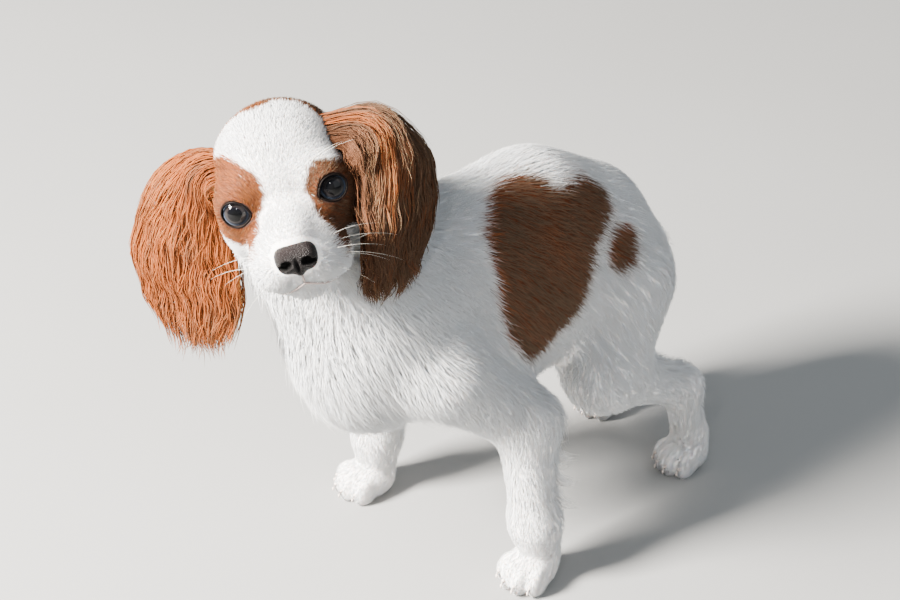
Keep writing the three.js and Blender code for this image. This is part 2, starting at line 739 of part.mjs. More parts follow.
for (const [n, [legName, pawName, leg]] of PIECES.entries()) {
  const points = Object.values(leg).filter(Array.isArray);
  const low = [0, 1].map((axis) => Math.min(...points.map((p) => p[axis])) - 40);
  const high = [0, 1].map((axis) => Math.max(...points.map((p) => p[axis])) + 40);
  addNode(
    legName,
    net(fleshForm, [...low, PAW_CUT - 8], [...high, 140], [7.6, 7.6, 9.5])
      .add(featherOf(leg))
      .intersect(limbRegions(0)[n])
      .intersect(boxSolid([-200, -200, PAW_CUT + GAP / 2], [200, 300, 200])),
    WHITE,
  );
  addNode(
    pawName,
    net(fleshForm, [-24, -32, -leg.paw[2] - 5], [24, 30, PAW_CUT + 6], [4.4, 4.7, 4.7], pawMatrix(leg))
      .intersect(boxSolid([-200, -200, 0], [200, 300, PAW_CUT - GAP / 2])),
    WHITE,
  );
}

// The row's origin is under the middle of the dog
const middle = new THREE.Box3().setFromObject(dog).getCenter(new THREE.Vector3());
for (const { geometry } of dog.children) geometry.translate(-middle.x, -middle.y, 0);

export default dog;
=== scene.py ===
import bpy
import bmesh
import math
import numpy as np
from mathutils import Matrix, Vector


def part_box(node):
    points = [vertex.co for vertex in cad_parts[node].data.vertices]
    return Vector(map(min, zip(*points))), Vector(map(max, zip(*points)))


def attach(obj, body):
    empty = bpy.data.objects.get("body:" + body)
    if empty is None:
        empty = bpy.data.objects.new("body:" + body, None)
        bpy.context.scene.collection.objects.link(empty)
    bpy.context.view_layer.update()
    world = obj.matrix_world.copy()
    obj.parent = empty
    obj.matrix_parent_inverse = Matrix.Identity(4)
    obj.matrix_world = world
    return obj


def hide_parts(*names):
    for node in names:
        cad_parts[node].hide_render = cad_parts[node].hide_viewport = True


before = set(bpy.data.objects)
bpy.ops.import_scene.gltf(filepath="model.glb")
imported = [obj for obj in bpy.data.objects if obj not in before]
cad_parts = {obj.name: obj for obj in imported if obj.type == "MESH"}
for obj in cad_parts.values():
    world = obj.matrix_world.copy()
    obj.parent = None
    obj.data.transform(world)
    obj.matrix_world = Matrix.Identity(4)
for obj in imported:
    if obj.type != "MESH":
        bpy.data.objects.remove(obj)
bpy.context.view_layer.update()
rng = np.random.default_rng(7)

# Landmarks in millimetres, in the dog's own axes: +x its left, -y its front, +z up
WITHERS = 220
CHEST_FRONT = (-9, -30, 144)
RIBS = (0, 38, 153)
LOIN = (0, 88, 158)
RUMP = (0, 120, 145)
SPINE = ((0, 20, WITHERS - 25), (0, 72, WITHERS - 27), (0, 112, WITHERS - 44))
NECK_BASE = (-9, -20, 172)
NECK_TOP = (-18, -60, 232)
FORELEGS = (
    dict(shoulder=(34, -8, 142), elbow=(49, 32, 102), wrist=(57, 33, 38), paw=(58, 31, 9), turn=10),
    dict(shoulder=(-34, -12, 142), elbow=(-48, 18, 102), wrist=(-57, 12, 38), paw=(-59, 7, 9), turn=-8),
)
HINDLEGS = (
    dict(hip=(20, 118, 140), knee=(37, 96, 98), hock=(35, 158, 60), ankle=(34, 170, 20),
         paw=(35, 166, 8.5), turn=0),
    dict(hip=(-20, 118, 140), knee=(-37, 96, 98), hock=(-36, 158, 60), ankle=(-35, 170, 20),
         paw=(-36, 166, 8.5), turn=0),
)
PAWS = ((FORELEGS, (18, 14.5)), (HINDLEGS, (17, 13.5)))
TAIL = ((0, 134, 152), (-3, 152, 147), (-9, 167, 137), (-15, 178, 122), (-20, 185, 106), (-24, 189, 90))
TAIL_RADIUS = 8.5
HEAD_CENTRE = (-13, -71, 261)
HEAD_YAW, HEAD_PITCH, HEAD_ROLL = 57, 8, -14
EYE_AT = np.array((22.2, -25.5, -3.5))
EYE_GAZE = np.array((0.3, -0.95, 0.06))
EYE_RADIUS = 8.6
EYE_LOOK = np.array((0.17, -0.97, 0.13))
EYE_OPENING = (6.45, 6.5)
LID_BLEND = 1.6
ORBIT_RADIUS, ORBIT_DEEP = 11.5, 2.6
NOSE = np.array((0, -59.5, -19.5))

EAR_LEFT = dict(
    side=1,
    path=[(-6, -50, 282), (13, -38, 285), (28, -34, 273), (34, -37, 257), (37, -41, 240), (37, -45, 224),
          (35, -47, 205)],
    width=[13, 19, 25, 26, 24, 20, 8],
    across=(-0.05, 1, 0),
)
EAR_RIGHT = dict(
    side=-1,
    path=[(-25, -92, 265), (-34, -100, 260), (-41, -105, 246), (-47, -107, 226), (-49, -108, 205),
          (-46, -106, 184), (-43, -105, 156)],
    width=[13, 18, 21, 26, 30, 27, 10],
    across=(-0.875, -0.485, 0),
)
EAR_CUP = (0.5, 0.5, 0.45, 0.3, 0.2, 0.15, 0.1)
EAR_LEATHER = dict(long=0.74, wide=0.72, thick=(8, 7, 4, 2.6, 2.6, 2.6))


def unit(v):
    return v / np.maximum(np.linalg.norm(v, axis=-1, keepdims=True), 1e-9)


def dot(a, b):
    return (a * b).sum(-1, keepdims=True)


def turn(axis, degrees):
    c, s = math.cos(math.radians(degrees)), math.sin(math.radians(degrees))
    m = np.eye(3)
    i, j = {"x": (1, 2), "y": (2, 0), "z": (0, 1)}[axis]
    m[i, i] = m[j, j] = c
    m[i, j], m[j, i] = -s, s
    return m


HEAD_TURN = turn("z", HEAD_YAW) @ turn("x", -HEAD_PITCH) @ turn("y", HEAD_ROLL)


def from_head(p):
    return np.asarray(p, float) @ HEAD_TURN.T + HEAD_CENTRE


def to_head(p):
    return (np.asarray(p, float) - HEAD_CENTRE) @ HEAD_TURN


def smooth(x, low, high):
    t = np.clip((x - low) / (high - low), 0, 1)
    return t * t * (3 - 2 * t)


def sided(p, side):
    return np.array((p[0] * side, p[1], p[2]), float)


SHIFT = 1000 * np.array([(a + b) / 2 for a, b in zip(*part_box("eye_left"))]) - from_head(EYE_AT)


# Forms: a form gives roughly the distance to a surface, below zero inside it
def ellipsoid(p, centre, radii, tilt=0):
    c, s = math.cos(math.radians(tilt)), math.sin(math.radians(tilt))
    x, y0, z0 = (p[..., n] - centre[n] for n in range(3))
    y = y0 * c + z0 * s
    z = z0 * c - y0 * s
    near = np.sqrt((x / radii[0]) ** 2 + (y / radii[1]) ** 2 + (z / radii[2]) ** 2)
    slope = np.sqrt((x / radii[0] ** 2) ** 2 + (y / radii[1] ** 2) ** 2 + (z / radii[2] ** 2) ** 2)
    return near * (near - 1) / np.maximum(slope, 1e-6)


def bone(p, a, b, ra, rb):
    a, b = np.asarray(a, float), np.asarray(b, float)
    u = b - a
    length2 = u @ u
    taper = ra - rb
    flat = length2 - taper * taper
    q = p - a
    along = q @ u
    past = along - length2
    x2 = ((q * length2 - along[..., None] * u) ** 2).sum(-1)
    y2 = along**2 * length2
    z2 = past**2 * length2
    k = np.sign(taper) * taper * taper * x2
    side = (np.sqrt(x2 * flat / length2) + along * taper) / length2 - ra
    low = np.sqrt(x2 + y2) / length2 - ra
    high = np.sqrt(x2 + z2) / length2 - rb
    return np.where(np.sign(past) * flat * z2 > k, high, np.where(np.sign(along) * flat * y2 < k, low, side))


def melt(radius, *forms):
    d = forms[0]
    for e in forms[1:]:
        h = np.maximum(radius - np.abs(d - e), 0) / radius
        d = np.minimum(d, e) - h * h * radius / 4
    return d


def head_form(world):
    p = to_head(world)
    orbit = EYE_AT - ORBIT_DEEP * EYE_GAZE
    parts = [ellipsoid(p, (0, 4, 1), (33, 36, 31.5)), ellipsoid(p, (0, -14, 4), (27, 19, 22.5))]
    parts += [ellipsoid(p, (s * 19, -7, -16), (16, 24, 18)) for s in (1, -1)]
    parts += [ellipsoid(p, (s * 18, -24, 6), (9, 8, 6)) for s in (1, -1)]
    parts += [ellipsoid(p, sided(orbit, s), (ORBIT_RADIUS,) * 3) for s in (1, -1)]
    parts += [bone(p, (0, -24, -9), (0, -53, -13), 9, 8), ellipsoid(p, (0, -39, -21), (20, 22, 15))]
    parts += [ellipsoid(p, (s * 11, -40, -29), (12, 17, 12.5)) for s in (1, -1)]
    parts += [bone(p, (0, -8, -33), (0, -42, -39), 15, 9.5)]
    return melt(9, *parts)


def torso_form(p):
    return melt(
        24,
        ellipsoid(p, RIBS, (46, 72, 60), -2),
        ellipsoid(p, CHEST_FRONT, (40, 36, 48)),
        ellipsoid(p, LOIN, (39, 52, 46), -6),
        ellipsoid(p, RUMP, (38, 32, 40)),
        bone(p, SPINE[0], SPINE[1], 27, 26),
        bone(p, SPINE[1], SPINE[2], 26, 23),
    )


def foreleg_form(p, leg):
    heel = (leg["paw"][0], leg["paw"][1] + 6, 16)
    return melt(
        12,
        bone(p, leg["shoulder"], leg["elbow"], 25, 17),
        bone(p, leg["elbow"], leg["wrist"], 16.5, 12.5),
        bone(p, leg["wrist"], heel, 12.5, 11.5),
    )


def hindleg_form(p, leg):
    heel = (leg["paw"][0], leg["paw"][1] + 4, 14)
    shank = melt(6, bone(p, leg["hock"], leg["ankle"], 10.5, 10), bone(p, leg["ankle"], heel, 10, 10.001))
    thigh = bone(p, leg["hip"], leg["knee"], 33, 22)
    return melt(14, thigh, bone(p, leg["knee"], leg["hock"], 20, 10.5), shank)


def toe_centres(long, wide):
    return [(n * wide * 0.5, -long * (0.46 if abs(n) > 1 else 0.72), -1.5) for n in (-1.5, -0.5, 0.5, 1.5)]


def paw_form(p, leg, long, wide):
    q = (p - leg["paw"]) @ turn("z", leg["turn"])
    toes = [ellipsoid(q, at, (wide * 0.29, long * 0.4, 9)) for at in toe_centres(long, wide)]
    return melt(2.5, ellipsoid(q, (0, 0, 0), (wide * 0.95, long * 0.9, 12)), *toes)


def tail_form(p):
    ends = list(zip(TAIL, TAIL[1:]))
    return melt(5, *[bone(p, a, b, TAIL_RADIUS - n, TAIL_RADIUS - 1 - n) for n, (a, b) in enumerate(ends)])


def neck_form(p):
    return bone(p, NECK_BASE, NECK_TOP, 49, 36)


def flesh(p):
    trunk = melt(20, torso_form(p), neck_form(p))
    legs = [foreleg_form(p, leg) for leg in FORELEGS] + [hindleg_form(p, leg) for leg in HINDLEGS]
    body = melt(14, trunk, head_form(p), *legs, tail_form(p))
    return melt(3, body, *[paw_form(p, leg, *size) for legs, size in PAWS for leg in legs])


def apart(angle, centre):
    return (angle - centre + math.pi) % (2 * math.pi) - math.pi


def eye_axes(side):
    gaze = unit(sided(EYE_LOOK, side))
    up = unit(np.array((0, 0, 1.0)) - gaze * gaze[2])
    return np.cross(gaze, up), up, gaze


def eye_shape(angle, side):
    """The opening's reach: a corner towards the nose, a smaller one behind and a flatter upper lid."""
    def near(centre, width):
        return np.exp(-((apart(angle, centre) / width) ** 2))

    inner, outer = (-0.3, math.pi - 0.1) if side > 0 else (math.pi + 0.3, 0.1)
    return 1 + 0.17 * near(inner, 0.38) + 0.04 * near(outer, 0.4) - 0.04 * near(math.pi / 2, 0.8)


def eye_cone(world, side):
    """Below zero in the opening before an eye, which flares to the front."""
    q = to_head(world) - sided(EYE_AT, side)
    x, y, ahead = (q @ axis for axis in eye_axes(side))
    off = np.hypot(x / EYE_OPENING[0], y / EYE_OPENING[1]) / eye_shape(np.arctan2(y, x), side)
    return np.maximum((off - 1 - 0.03 * (ahead - 7)) * 7, 2 - ahead)


def open_flesh(p):
    d = flesh(p)
    for side in (1, -1):
        cut = -eye_cone(p, side)
        h = np.maximum(LID_BLEND - np.abs(d - cut), 0) / LID_BLEND
        d = np.maximum(d, cut) + h * h * LID_BLEND / 4
    return d


def nose_form(p):
    return melt(
        3,
        ellipsoid(p, NOSE + (0, 1, 2), (9.9, 6.5, 6.5)),
        ellipsoid(p, NOSE + (4.8, 0, -1.5), (5.5, 6.2, 6.2)),
        ellipsoid(p, NOSE + (-4.8, 0, -1.5), (5.5, 6.2, 6.2)),
        ellipsoid(p, NOSE + (0, 0, -4.5), (3.6, 5, 5.5)),
    )


def halves(axis, rest):
    """Slices that pair each corner of a grid with the next one along an axis."""
    low, high = [rest] * 3, [rest] * 3
    low[axis], high[axis] = slice(0, -1), slice(1, None)
    return tuple(low), tuple(high)


# A form sampled on a grid, to mesh it and to walk on it
class Sampled:
    def __init__(self, form, low, high, step):
        self.low, self.step = np.array(low, float), step
        axes = [np.arange(a, b + step, step) for a, b in zip(low, high)]
        self.values = np.empty([len(a) for a in axes], np.float32)
        for n in range(0, len(axes[0]), 12):
            cells = np.stack(np.meshgrid(axes[0][n : n + 12], axes[1], axes[2], indexing="ij"), -1)
            self.values[n : n + 12] = form(cells)

    def corners(self, p):
        q = (p - self.low) / self.step
        top = np.array(self.values.shape) - 2
        cell = np.clip(np.floor(q).astype(int), 0, top)
        f = np.clip(q - cell, 0, 1)
        at = [self.values[cell[:, 0] + i, cell[:, 1] + j, cell[:, 2] + k]
              for i in (0, 1) for j in (0, 1) for k in (0, 1)]
        return at, f[:, 0], f[:, 1], f[:, 2]

    def look(self, p):
        c, x, y, z = self.corners(p)
        x00, x01 = c[0] + (c[4] - c[0]) * x, c[1] + (c[5] - c[1]) * x
        x10, x11 = c[2] + (c[6] - c[2]) * x, c[3] + (c[7] - c[3]) * x
        y0, y1 = x00 + (x10 - x00) * y, x01 + (x11 - x01) * y
        near = (c[4] - c[0]) * (1 - y) + (c[6] - c[2]) * y
        far = (c[5] - c[1]) * (1 - y) + (c[7] - c[3]) * y
        gx = near * (1 - z) + far * z
        gy = (x10 - x00) * (1 - z) + (x11 - x01) * z
        return y0 + (y1 - y0) * z, unit(np.stack([gx, gy, y1 - y0], -1))

    def net(self, values=None):
        """Points and faces of the surface where the values change sign."""
        v = self.values if values is None else values
        inside = v < 0
        total = np.zeros(tuple(n - 1 for n in v.shape) + (3,), np.float32)
        count = np.zeros(total.shape[:3], np.float32)
        for axis in range(3):
            low, high = halves(axis, slice(None))
            cross = inside[low] != inside[high]
            with np.errstate(divide="ignore", invalid="ignore"):
                along = np.where(cross, v[low] / (v[low] - v[high]), 0)
            u, w = (n for n in range(3) if n != axis)
            for i in (0, 1):
                for j in (0, 1):
                    s = [slice(None)] * 3
                    s[u] = slice(i, cross.shape[u] - 1 + i)
                    s[w] = slice(j, cross.shape[w] - 1 + j)
                    hit = cross[tuple(s)]
                    count += hit
                    total[..., axis] += np.where(hit, along[tuple(s)], 0)
                    total[..., u] += hit * i
                    total[..., w] += hit * j
        used = count > 0
        index = np.full(count.shape, -1)
        index[used] = np.arange(used.sum())
        points = (np.argwhere(used) + total[used] / count[used][:, None]) * self.step + self.low
        faces = []
        for axis in range(3):
            one, two = (inside[half] for half in halves(axis, slice(1, -1)))
            at = np.argwhere(one != two) + 1
            at[:, axis] -= 1
            ring = []
            for du, dw in ((-1, -1), (0, -1), (0, 0), (-1, 0)):
                c = at.copy()
                c[:, (axis + 1) % 3] += du
                c[:, (axis + 2) % 3] += dw
                ring.append(index[tuple(c.T)])
            quad = np.stack(ring, -1)
            faces.append(np.where(one[one != two][:, None], quad, quad[:, ::-1]))
        return points, np.concatenate(faces)


def placed(name, data):
    o = bpy.data.objects.new(name, data)
    bpy.context.scene.collection.objects.link(o)
    return o


def mesh_of(name, points, faces, body="root"):
    """A mesh object from points in millimetres and an array of faces with one number of corners."""
    me = bpy.data.meshes.new(name)
    faces = np.asarray(faces, np.int32)
    me.vertices.add(len(points))
    me.vertices.foreach_set("co", ((np.asarray(points) + SHIFT) / 1000).astype(np.float32).ravel())
    me.loops.add(faces.size)
    me.loops.foreach_set("vertex_index", faces.ravel())
    me.polygons.add(len(faces))
    me.polygons.foreach_set("loop_start", np.arange(0, faces.size, faces.shape[1], dtype=np.int32))
    me.update(calc_edges=True)
    me.shade_smooth()
    o = placed(name, me)
    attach(o, body)
    return o


def wrapped(rows, cols):
    """Faces over rows of points, each row closed in a ring."""
    i, j = np.meshgrid(np.arange(rows - 1), np.arange(cols), indexing="ij")
    i, j = i.ravel(), j.ravel()
    k = (j + 1) % cols
    return np.stack([i * cols + j, (i + 1) * cols + j, (i + 1) * cols + k, i * cols + k], -1)


def note(o, name, values):
    values = np.asarray(values, np.float32)
    o.data.attributes.new(name, "FLOAT", "POINT").data.foreach_set("value", values.ravel())


# Materials
def shader(name, **inputs):
    m = bpy.data.materials.new(name)
    m.use_nodes = True
    tree = m.node_tree
    principled = tree.nodes["Principled BSDF"]
    for key, value in inputs.items():
        principled.inputs[key.replace("_", " ")].default_value = value
    return m, tree, principled


def lit_through(tree, principled):
    """White hair lets light through, chestnut hair hardly does."""
    principled.inputs["Subsurface Scale"].default_value = 0.002
    principled.inputs["Subsurface Radius"].default_value = (1.0, 0.8, 0.65)
    weight = ramp(tree, attribute(tree, "chestnut"), [(0, grey(0.6)), (1, grey(0.05))])
    tree.links.new(weight, principled.inputs["Subsurface Weight"])


def grey(value):
    return (value, value, value)


def ramp(tree, source, stops):
    n = tree.nodes.new("ShaderNodeValToRGB")
    n.color_ramp.elements[0].position, n.color_ramp.elements[1].position = stops[0][0], stops[-1][0]
    n.color_ramp.elements[0].color, n.color_ramp.elements[1].color = (*stops[0][1], 1), (*stops[-1][1], 1)
    for position, colour in stops[1:-1]:
        n.color_ramp.elements.new(position).color = (*colour, 1)
    tree.links.new(source, n.inputs["Fac"])
    return n.outputs["Color"]


def attribute(tree, name):
    n = tree.nodes.new("ShaderNodeAttribute")
    n.attribute_name = name
    return n.outputs["Fac"]


def mixed(tree, factor, a, b):
    n = tree.nodes.new("ShaderNodeMix")
    n.data_type = "RGBA"
    for value, socket in ((factor, n.inputs[0]), (a, n.inputs[6]), (b, n.inputs[7])):
        if isinstance(value, (int, float, tuple)):
            socket.default_value = value if isinstance(value, (int, float)) else (*value, 1)
        else:
            tree.links.new(value, socket)
    return n.outputs[2]


def noise(tree, scale, detail=2.0):
    place = tree.nodes.new("ShaderNodeTexCoord")
    n = tree.nodes.new("ShaderNodeTexNoise")
    n.inputs["Scale"].default_value = scale
    n.inputs["Detail"].default_value = detail
    tree.links.new(place.outputs["Object"], n.inputs["Vector"])
    return n.outputs["Fac"]


def mottled(name, scale, dark, light, **inputs):
    """A material of two shades in soft spots."""
    m, tree, principled = shader(name, **inputs)
    shades = ramp(tree, noise(tree, scale), [(0.3, dark), (0.7, light)])
    tree.links.new(shades, principled.inputs["Base Color"])
    return m


def bumped(tree, principled, height, strength, distance):
    n = tree.nodes.new("ShaderNodeBump")
    n.inputs["Strength"].default_value = strength
    n.inputs["Distance"].default_value = distance
    tree.links.new(height, n.inputs["Height"])
    tree.links.new(n.outputs["Normal"], principled.inputs["Normal"])


def coat_material():
    m, tree, principled = shader("coat", Roughness=0.7, Specular_IOR_Level=0.04)
    lit_through(tree, principled)
    along, tint = attribute(tree, "along"), attribute(tree, "tint")
    white = ramp(tree, along, [(0, (0.80, 0.75, 0.72)), (0.4, (0.90, 0.88, 0.86)), (1, (0.95, 0.94, 0.93))])
    cream = ramp(tree, along, [(0, (0.74, 0.68, 0.64)), (1, (0.88, 0.86, 0.83))])
    # red is the chestnut as it looks in light, deep the same chestnut painted as in shade; tint, which also
    # varies at random, mixes towards deep for painted shade on the trunk, the left side of the head and the
    # left ear, and among the white mixes towards cream.
    red = ramp(tree, along, [
        (0, (0.10, 0.022, 0.006)), (0.5, (0.19, 0.046, 0.011)), (1, (0.27, 0.073, 0.019)),
    ])
    deep = ramp(tree, along, [
        (0, (0.040, 0.023, 0.014)), (0.5, (0.080, 0.048, 0.030)), (1, (0.120, 0.074, 0.047)),
    ])
    chestnut_and_shade = attribute(tree, "chestnut")
    colour = mixed(tree, chestnut_and_shade, mixed(tree, tint, white, cream), mixed(tree, tint, red, deep))
    # Painted shadow: where chestnut runs above one, the colour darkens towards a near black brown.
    painted_shade = tree.nodes.new("ShaderNodeMath")
    painted_shade.operation = "SUBTRACT"
    painted_shade.inputs[1].default_value = 1.0
    tree.links.new(chestnut_and_shade, painted_shade.inputs[0])
    colour = mixed(tree, painted_shade.outputs[0], colour, (0.030, 0.010, 0.004))
    tree.links.new(colour, principled.inputs["Base Color"])
    return m


def skin_material():
    m, tree, principled = shader("skin", Roughness=0.6, Specular_IOR_Level=0.06)
    lit_through(tree, principled)
    mottle = noise(tree, 900.0, 4.0)
    pale = ramp(tree, mottle, [(0.3, (0.84, 0.78, 0.75)), (0.7, (0.91, 0.88, 0.86))])
    red = ramp(tree, mottle, [(0.3, (0.060, 0.018, 0.007)), (0.7, (0.10, 0.030, 0.011))])
    colour = mixed(tree, attribute(tree, "chestnut"), pale, red)
    colour = mixed(tree, attribute(tree, "dark"), colour, (0.018, 0.012, 0.010))
    tree.links.new(colour, principled.inputs["Base Color"])
    bumped(tree, principled, mottle, 0.3, 0.0006)
    return m


COAT = coat_material()
SKIN = skin_material()


# Markings, drawn on the head's and the trunk's own rounded charts
def head_chart(p, side):
    """A flat chart of one side of the head, in degrees from the ear's root."""
    p = np.asarray(p, float)
    round_ear = np.hypot(p[..., 1], p[..., 2])
    away = np.degrees(np.arctan2(round_ear, side * p[..., 0])) / np.maximum(round_ear, 1e-6)
    return np.stack([-p[..., 1] * away, p[..., 2] * away], -1)


def trunk_chart(p):
    return np.stack([p[..., 1], np.degrees(np.arctan2(p[..., 2] - 150, p[..., 0]))], -1)


def within(chart, outline):
    """Distance into a closed outline in chart units, above zero inside it."""
    a = np.asarray(outline, float)
    b = np.roll(a, -1, 0)
    nearest = np.full(len(chart), 1e9)
    odd = np.zeros(len(chart), bool)
    for (x0, y0), (x1, y1) in zip(a, b):
        d = np.array((x1 - x0, y1 - y0))
        t = np.clip(((chart - (x0, y0)) @ d) / (d @ d + 1e-9), 0, 1)
        nearest = np.minimum(nearest, np.hypot(chart[:, 0] - x0 - t * d[0], chart[:, 1] - y0 - t * d[1]))
        if y0 != y1:
            odd ^= ((chart[:, 1] < y0) != (chart[:, 1] < y1)) & (
                chart[:, 0] < x0 + (chart[:, 1] - y0) * (x1 - x0) / (y1 - y0)
            )
    return np.where(odd, nearest, -nearest)


PATCH_RIGHT = head_chart([
    (-12, 24, 27), (4, 20, 30), (5, 9, 31.8), (2, 5, 32.5), (-5, 3, 32.2), (-9.6, 6, 31), (-17, 11, 26),
    (-25, 10, 19), (-29, -2, 16), (-23, -13, 20), (-16, -24.5, 19), (-10.5, -31, 14.3), (-8, -33.6, 9),
    (-8, -34.5, 3), (-10.4, -35.6, -2), (-14, -38, -7.4), (-15.7, -43, -11), (-19.5, -45, -16.5),
    (-21, -38, -20), (-25.5, -29, -20.5), (-31, -21, -19), (-36, -8, -21), (-38, 8, -20), (-34, 22, -16),
    (-26, 34, -8),
], -1)
PATCH_LEFT = head_chart([
    (13, 20, 31), (15.7, 10, 28), (21.6, 3.5, 25), (26, -3, 19.7), (28.4, -9.5, 14), (30, -12.7, 8.3),
    (32, -18.5, 5), (29, -25, 6.6), (23, -29, 11), (18.3, -31, 11.8), (14.6, -33, 10), (11.4, -34.3, 5.4),
    (10.4, -34.7, 0.5), (11.8, -37, -4.7), (14.6, -41, -9.3), (17.3, -46.7, -14), (19, -49, -18),
    (20.8, -49, -22), (22.2, -47, -29), (30, -24, -32), (36, -8, -28), (38, 8, -20), (34, 22, -14),
    (26, 34, -8),
], 1)
FLANK_LEFT = trunk_chart(np.array([
    (11, 35, 222), (9, 42, 223), (6, 50, 225), (10, 59, 225), (16.5, 67, 223), (22, 70, 219), (25, 74, 216.5),
    (20, 86, 217.5), (17, 95, 214), (19.5, 103, 208), (24.5, 107, 200.5), (30, 105, 194), (36, 96.5, 187),
    (39.5, 87, 181.5), (42, 83.5, 171.5), (44.5, 77, 158.5), (45, 72, 150.5), (45, 58.5, 142),
    (43, 49, 133.5), (44, 42, 129), (46, 32.5, 138), (45.5, 23.5, 154), (43, 20, 168.5), (39, 20, 187),
    (33.5, 20, 200.5), (27, 21, 210.5), (19.5, 28, 217.5),
], float))
SPOT_LEFT = trunk_chart(np.array([
    (40.5, 92.5, 173), (38, 96, 181.5), (34.5, 103.5, 187), (32.5, 114, 185), (36, 118.5, 177.5),
    (41.5, 115, 170.5), (46, 109, 163.5), (45, 101.5, 161.5), (42.5, 95.5, 165.5),
], float))
FLANK_RIGHT = trunk_chart(np.array([
    (-26, 64, 216), (-32, 56, 206), (-43, 62, 186), (-46, 80, 165), (-45, 102, 160), (-38, 118, 170),
    (-30, 112, 190), (-26, 98, 204),
], float))


def wobble(p, size, seed):
    """A smooth random value near each point, from -1 to 1."""
    r = np.random.default_rng(seed)
    total = 0
    for n in range(4):
        way = unit(r.normal(size=3)) / size * (1.5**n)
        total = total + np.sin(p @ way * 2 * math.pi + r.uniform(0, 6.3)) / (1.5**n)
    return total / 2.4


def chestnut(p):
    local = to_head(p)
    skull = np.maximum(within(head_chart(local, -1), PATCH_RIGHT), within(head_chart(local, 1), PATCH_LEFT))
    nape = np.minimum((local[:, 1] - 9) * 1.2, (local[:, 2] + 8) * 1.2)
    skull = np.maximum(skull, nape) + 1.6 * wobble(p, 9, 3)
    on_head = -smooth(head_form(p), 3, 8)
    head = np.where(on_head > -0.5, skull, -9)
    chart = trunk_chart(p)
    trunk = np.maximum.reduce([within(chart, o) for o in (FLANK_LEFT, SPOT_LEFT, FLANK_RIGHT)])
    trunk = np.where((p[:, 1] > 0) & (p[:, 2] > 100), trunk + 1.3 * wobble(p, 11, 5), -9)
    return np.maximum(head / 2.2, trunk / 2.5)


# Guides of the coat: a place, the lie there, length, depth under the solids' surface, rise at the tip.
# Those of the head are in its own axes.
MUZZLE_TO_NAPE = (
    (0, -52, -8, 0, 1, 0.35, 3, 0.7, 0.9),
    (0, -34, 4, 0, 0.5, 0.9, 3.6, 0.9, 0.9),
    (0, -26, 20, 0, 0.7, 0.7, 5, 1.2, 1.3),
    (0, -4, 33, 0, 1, 0.1, 7, 1.6, 1.8),
    (0, 20, 28, 0, 1, -0.5, 8, 1.8, 2),
    (0, 38, 8, 0, 0.3, -1, 9, 2, 2.2),
    (0, -58, -32, 0, 0.2, -1, 3, 0.7, 0.7),
    (0, -52, -44, 0, 0.6, -0.8, 8, 1, 3),
    (0, -20, -50, 0, 1, -0.4, 8, 1.2, 2.5),
)
SIDE_OF_HEAD = (
    (10, -54, -14, 0.3, 1, 0.1, 3.4, 0.7, 1),
    (17, -48, -22, 0.35, 1, -0.2, 5, 0.8, 1.6),
    (19, -44, -30, 0.25, 0.5, -0.9, 8, 0.9, 3.8),
    (10, -54, -37, 0.3, 0.4, -0.9, 5.4, 0.8, 1.5),
    (24, -24, -35, 0.1, 1, -0.3, 7, 1.2, 1.8),
    (20, -40, -16, 0.5, 0.9, -0.5, 3.2, 0.8, 0.8),
    (11, -36, -5, 0.2, 0.4, 0.8, 2.8, 0.8, 0.8),
    (14, -33, 9, 0.5, 0.4, 0.8, 3.4, 0.9, 1),
    (22, -30, 11, 0.8, 0.5, 0.5, 3.6, 0.9, 1),
    (31, -22, 4, 0.6, 1, 0.2, 4, 1, 1.1),
    (32, -24, -8, 0.5, 1, -0.2, 3.8, 1, 1),
    (28, -30, -15, 0.5, 1, -0.4, 3.8, 0.9, 1),
    (24, -12, 24, 0.4, 0.8, 0.2, 6, 1.4, 1.6),
    (35, -4, 4, 0.2, 1, -0.1, 7, 1.5, 1.8),
    (35, -8, -18, 0.1, 1, -0.4, 7, 1.4, 1.8),
    (30, 14, -16, 0, 1, -0.7, 9, 1.8, 2.2),
    (24, 28, 10, 0.1, 0.8, -0.7, 9, 1.8, 2.2),
)
NECK_AND_CHEST = (
    (-18, -18, 250, 0.1, 0.9, -0.7, 12, 2.2, 3),
    (-6, 2, 226, 0, 0.9, -0.5, 13, 2.6, 3.4),
    (22, -30, 225, 0.2, 0.6, -0.9, 14, 2, 4),
    (-50, -38, 215, -0.3, 0.3, -1, 14, 2, 4),
    (-28, -92, 212, -0.1, -0.2, -1, 14, 1.4, 4.5),
    (-2, -88, 205, 0.1, -0.2, -1, 14, 1.4, 4.5),
    (-16, -78, 180, 0, 0, -1, 18, 1.4, 4.4),
    (-12, -68, 150, 0, 0.1, -1, 19, 1.4, 4.6),
    (-10, -58, 118, 0, 0.5, -0.9, 19, 1.6, 4.6),
    (-6, -30, 98, 0, 0.9, -0.6, 19, 2, 5),
    (28, -52, 165, 0.4, 0.3, -1, 17, 1.6, 4.4),
    (28, -44, 125, 0.3, 0.5, -1, 17, 1.6, 4.4),
    (-46, -50, 165, -0.4, 0.3, -1, 17, 1.6, 4.4),
    (-42, -44, 125, -0.3, 0.5, -1, 17, 1.6, 4.4),
)
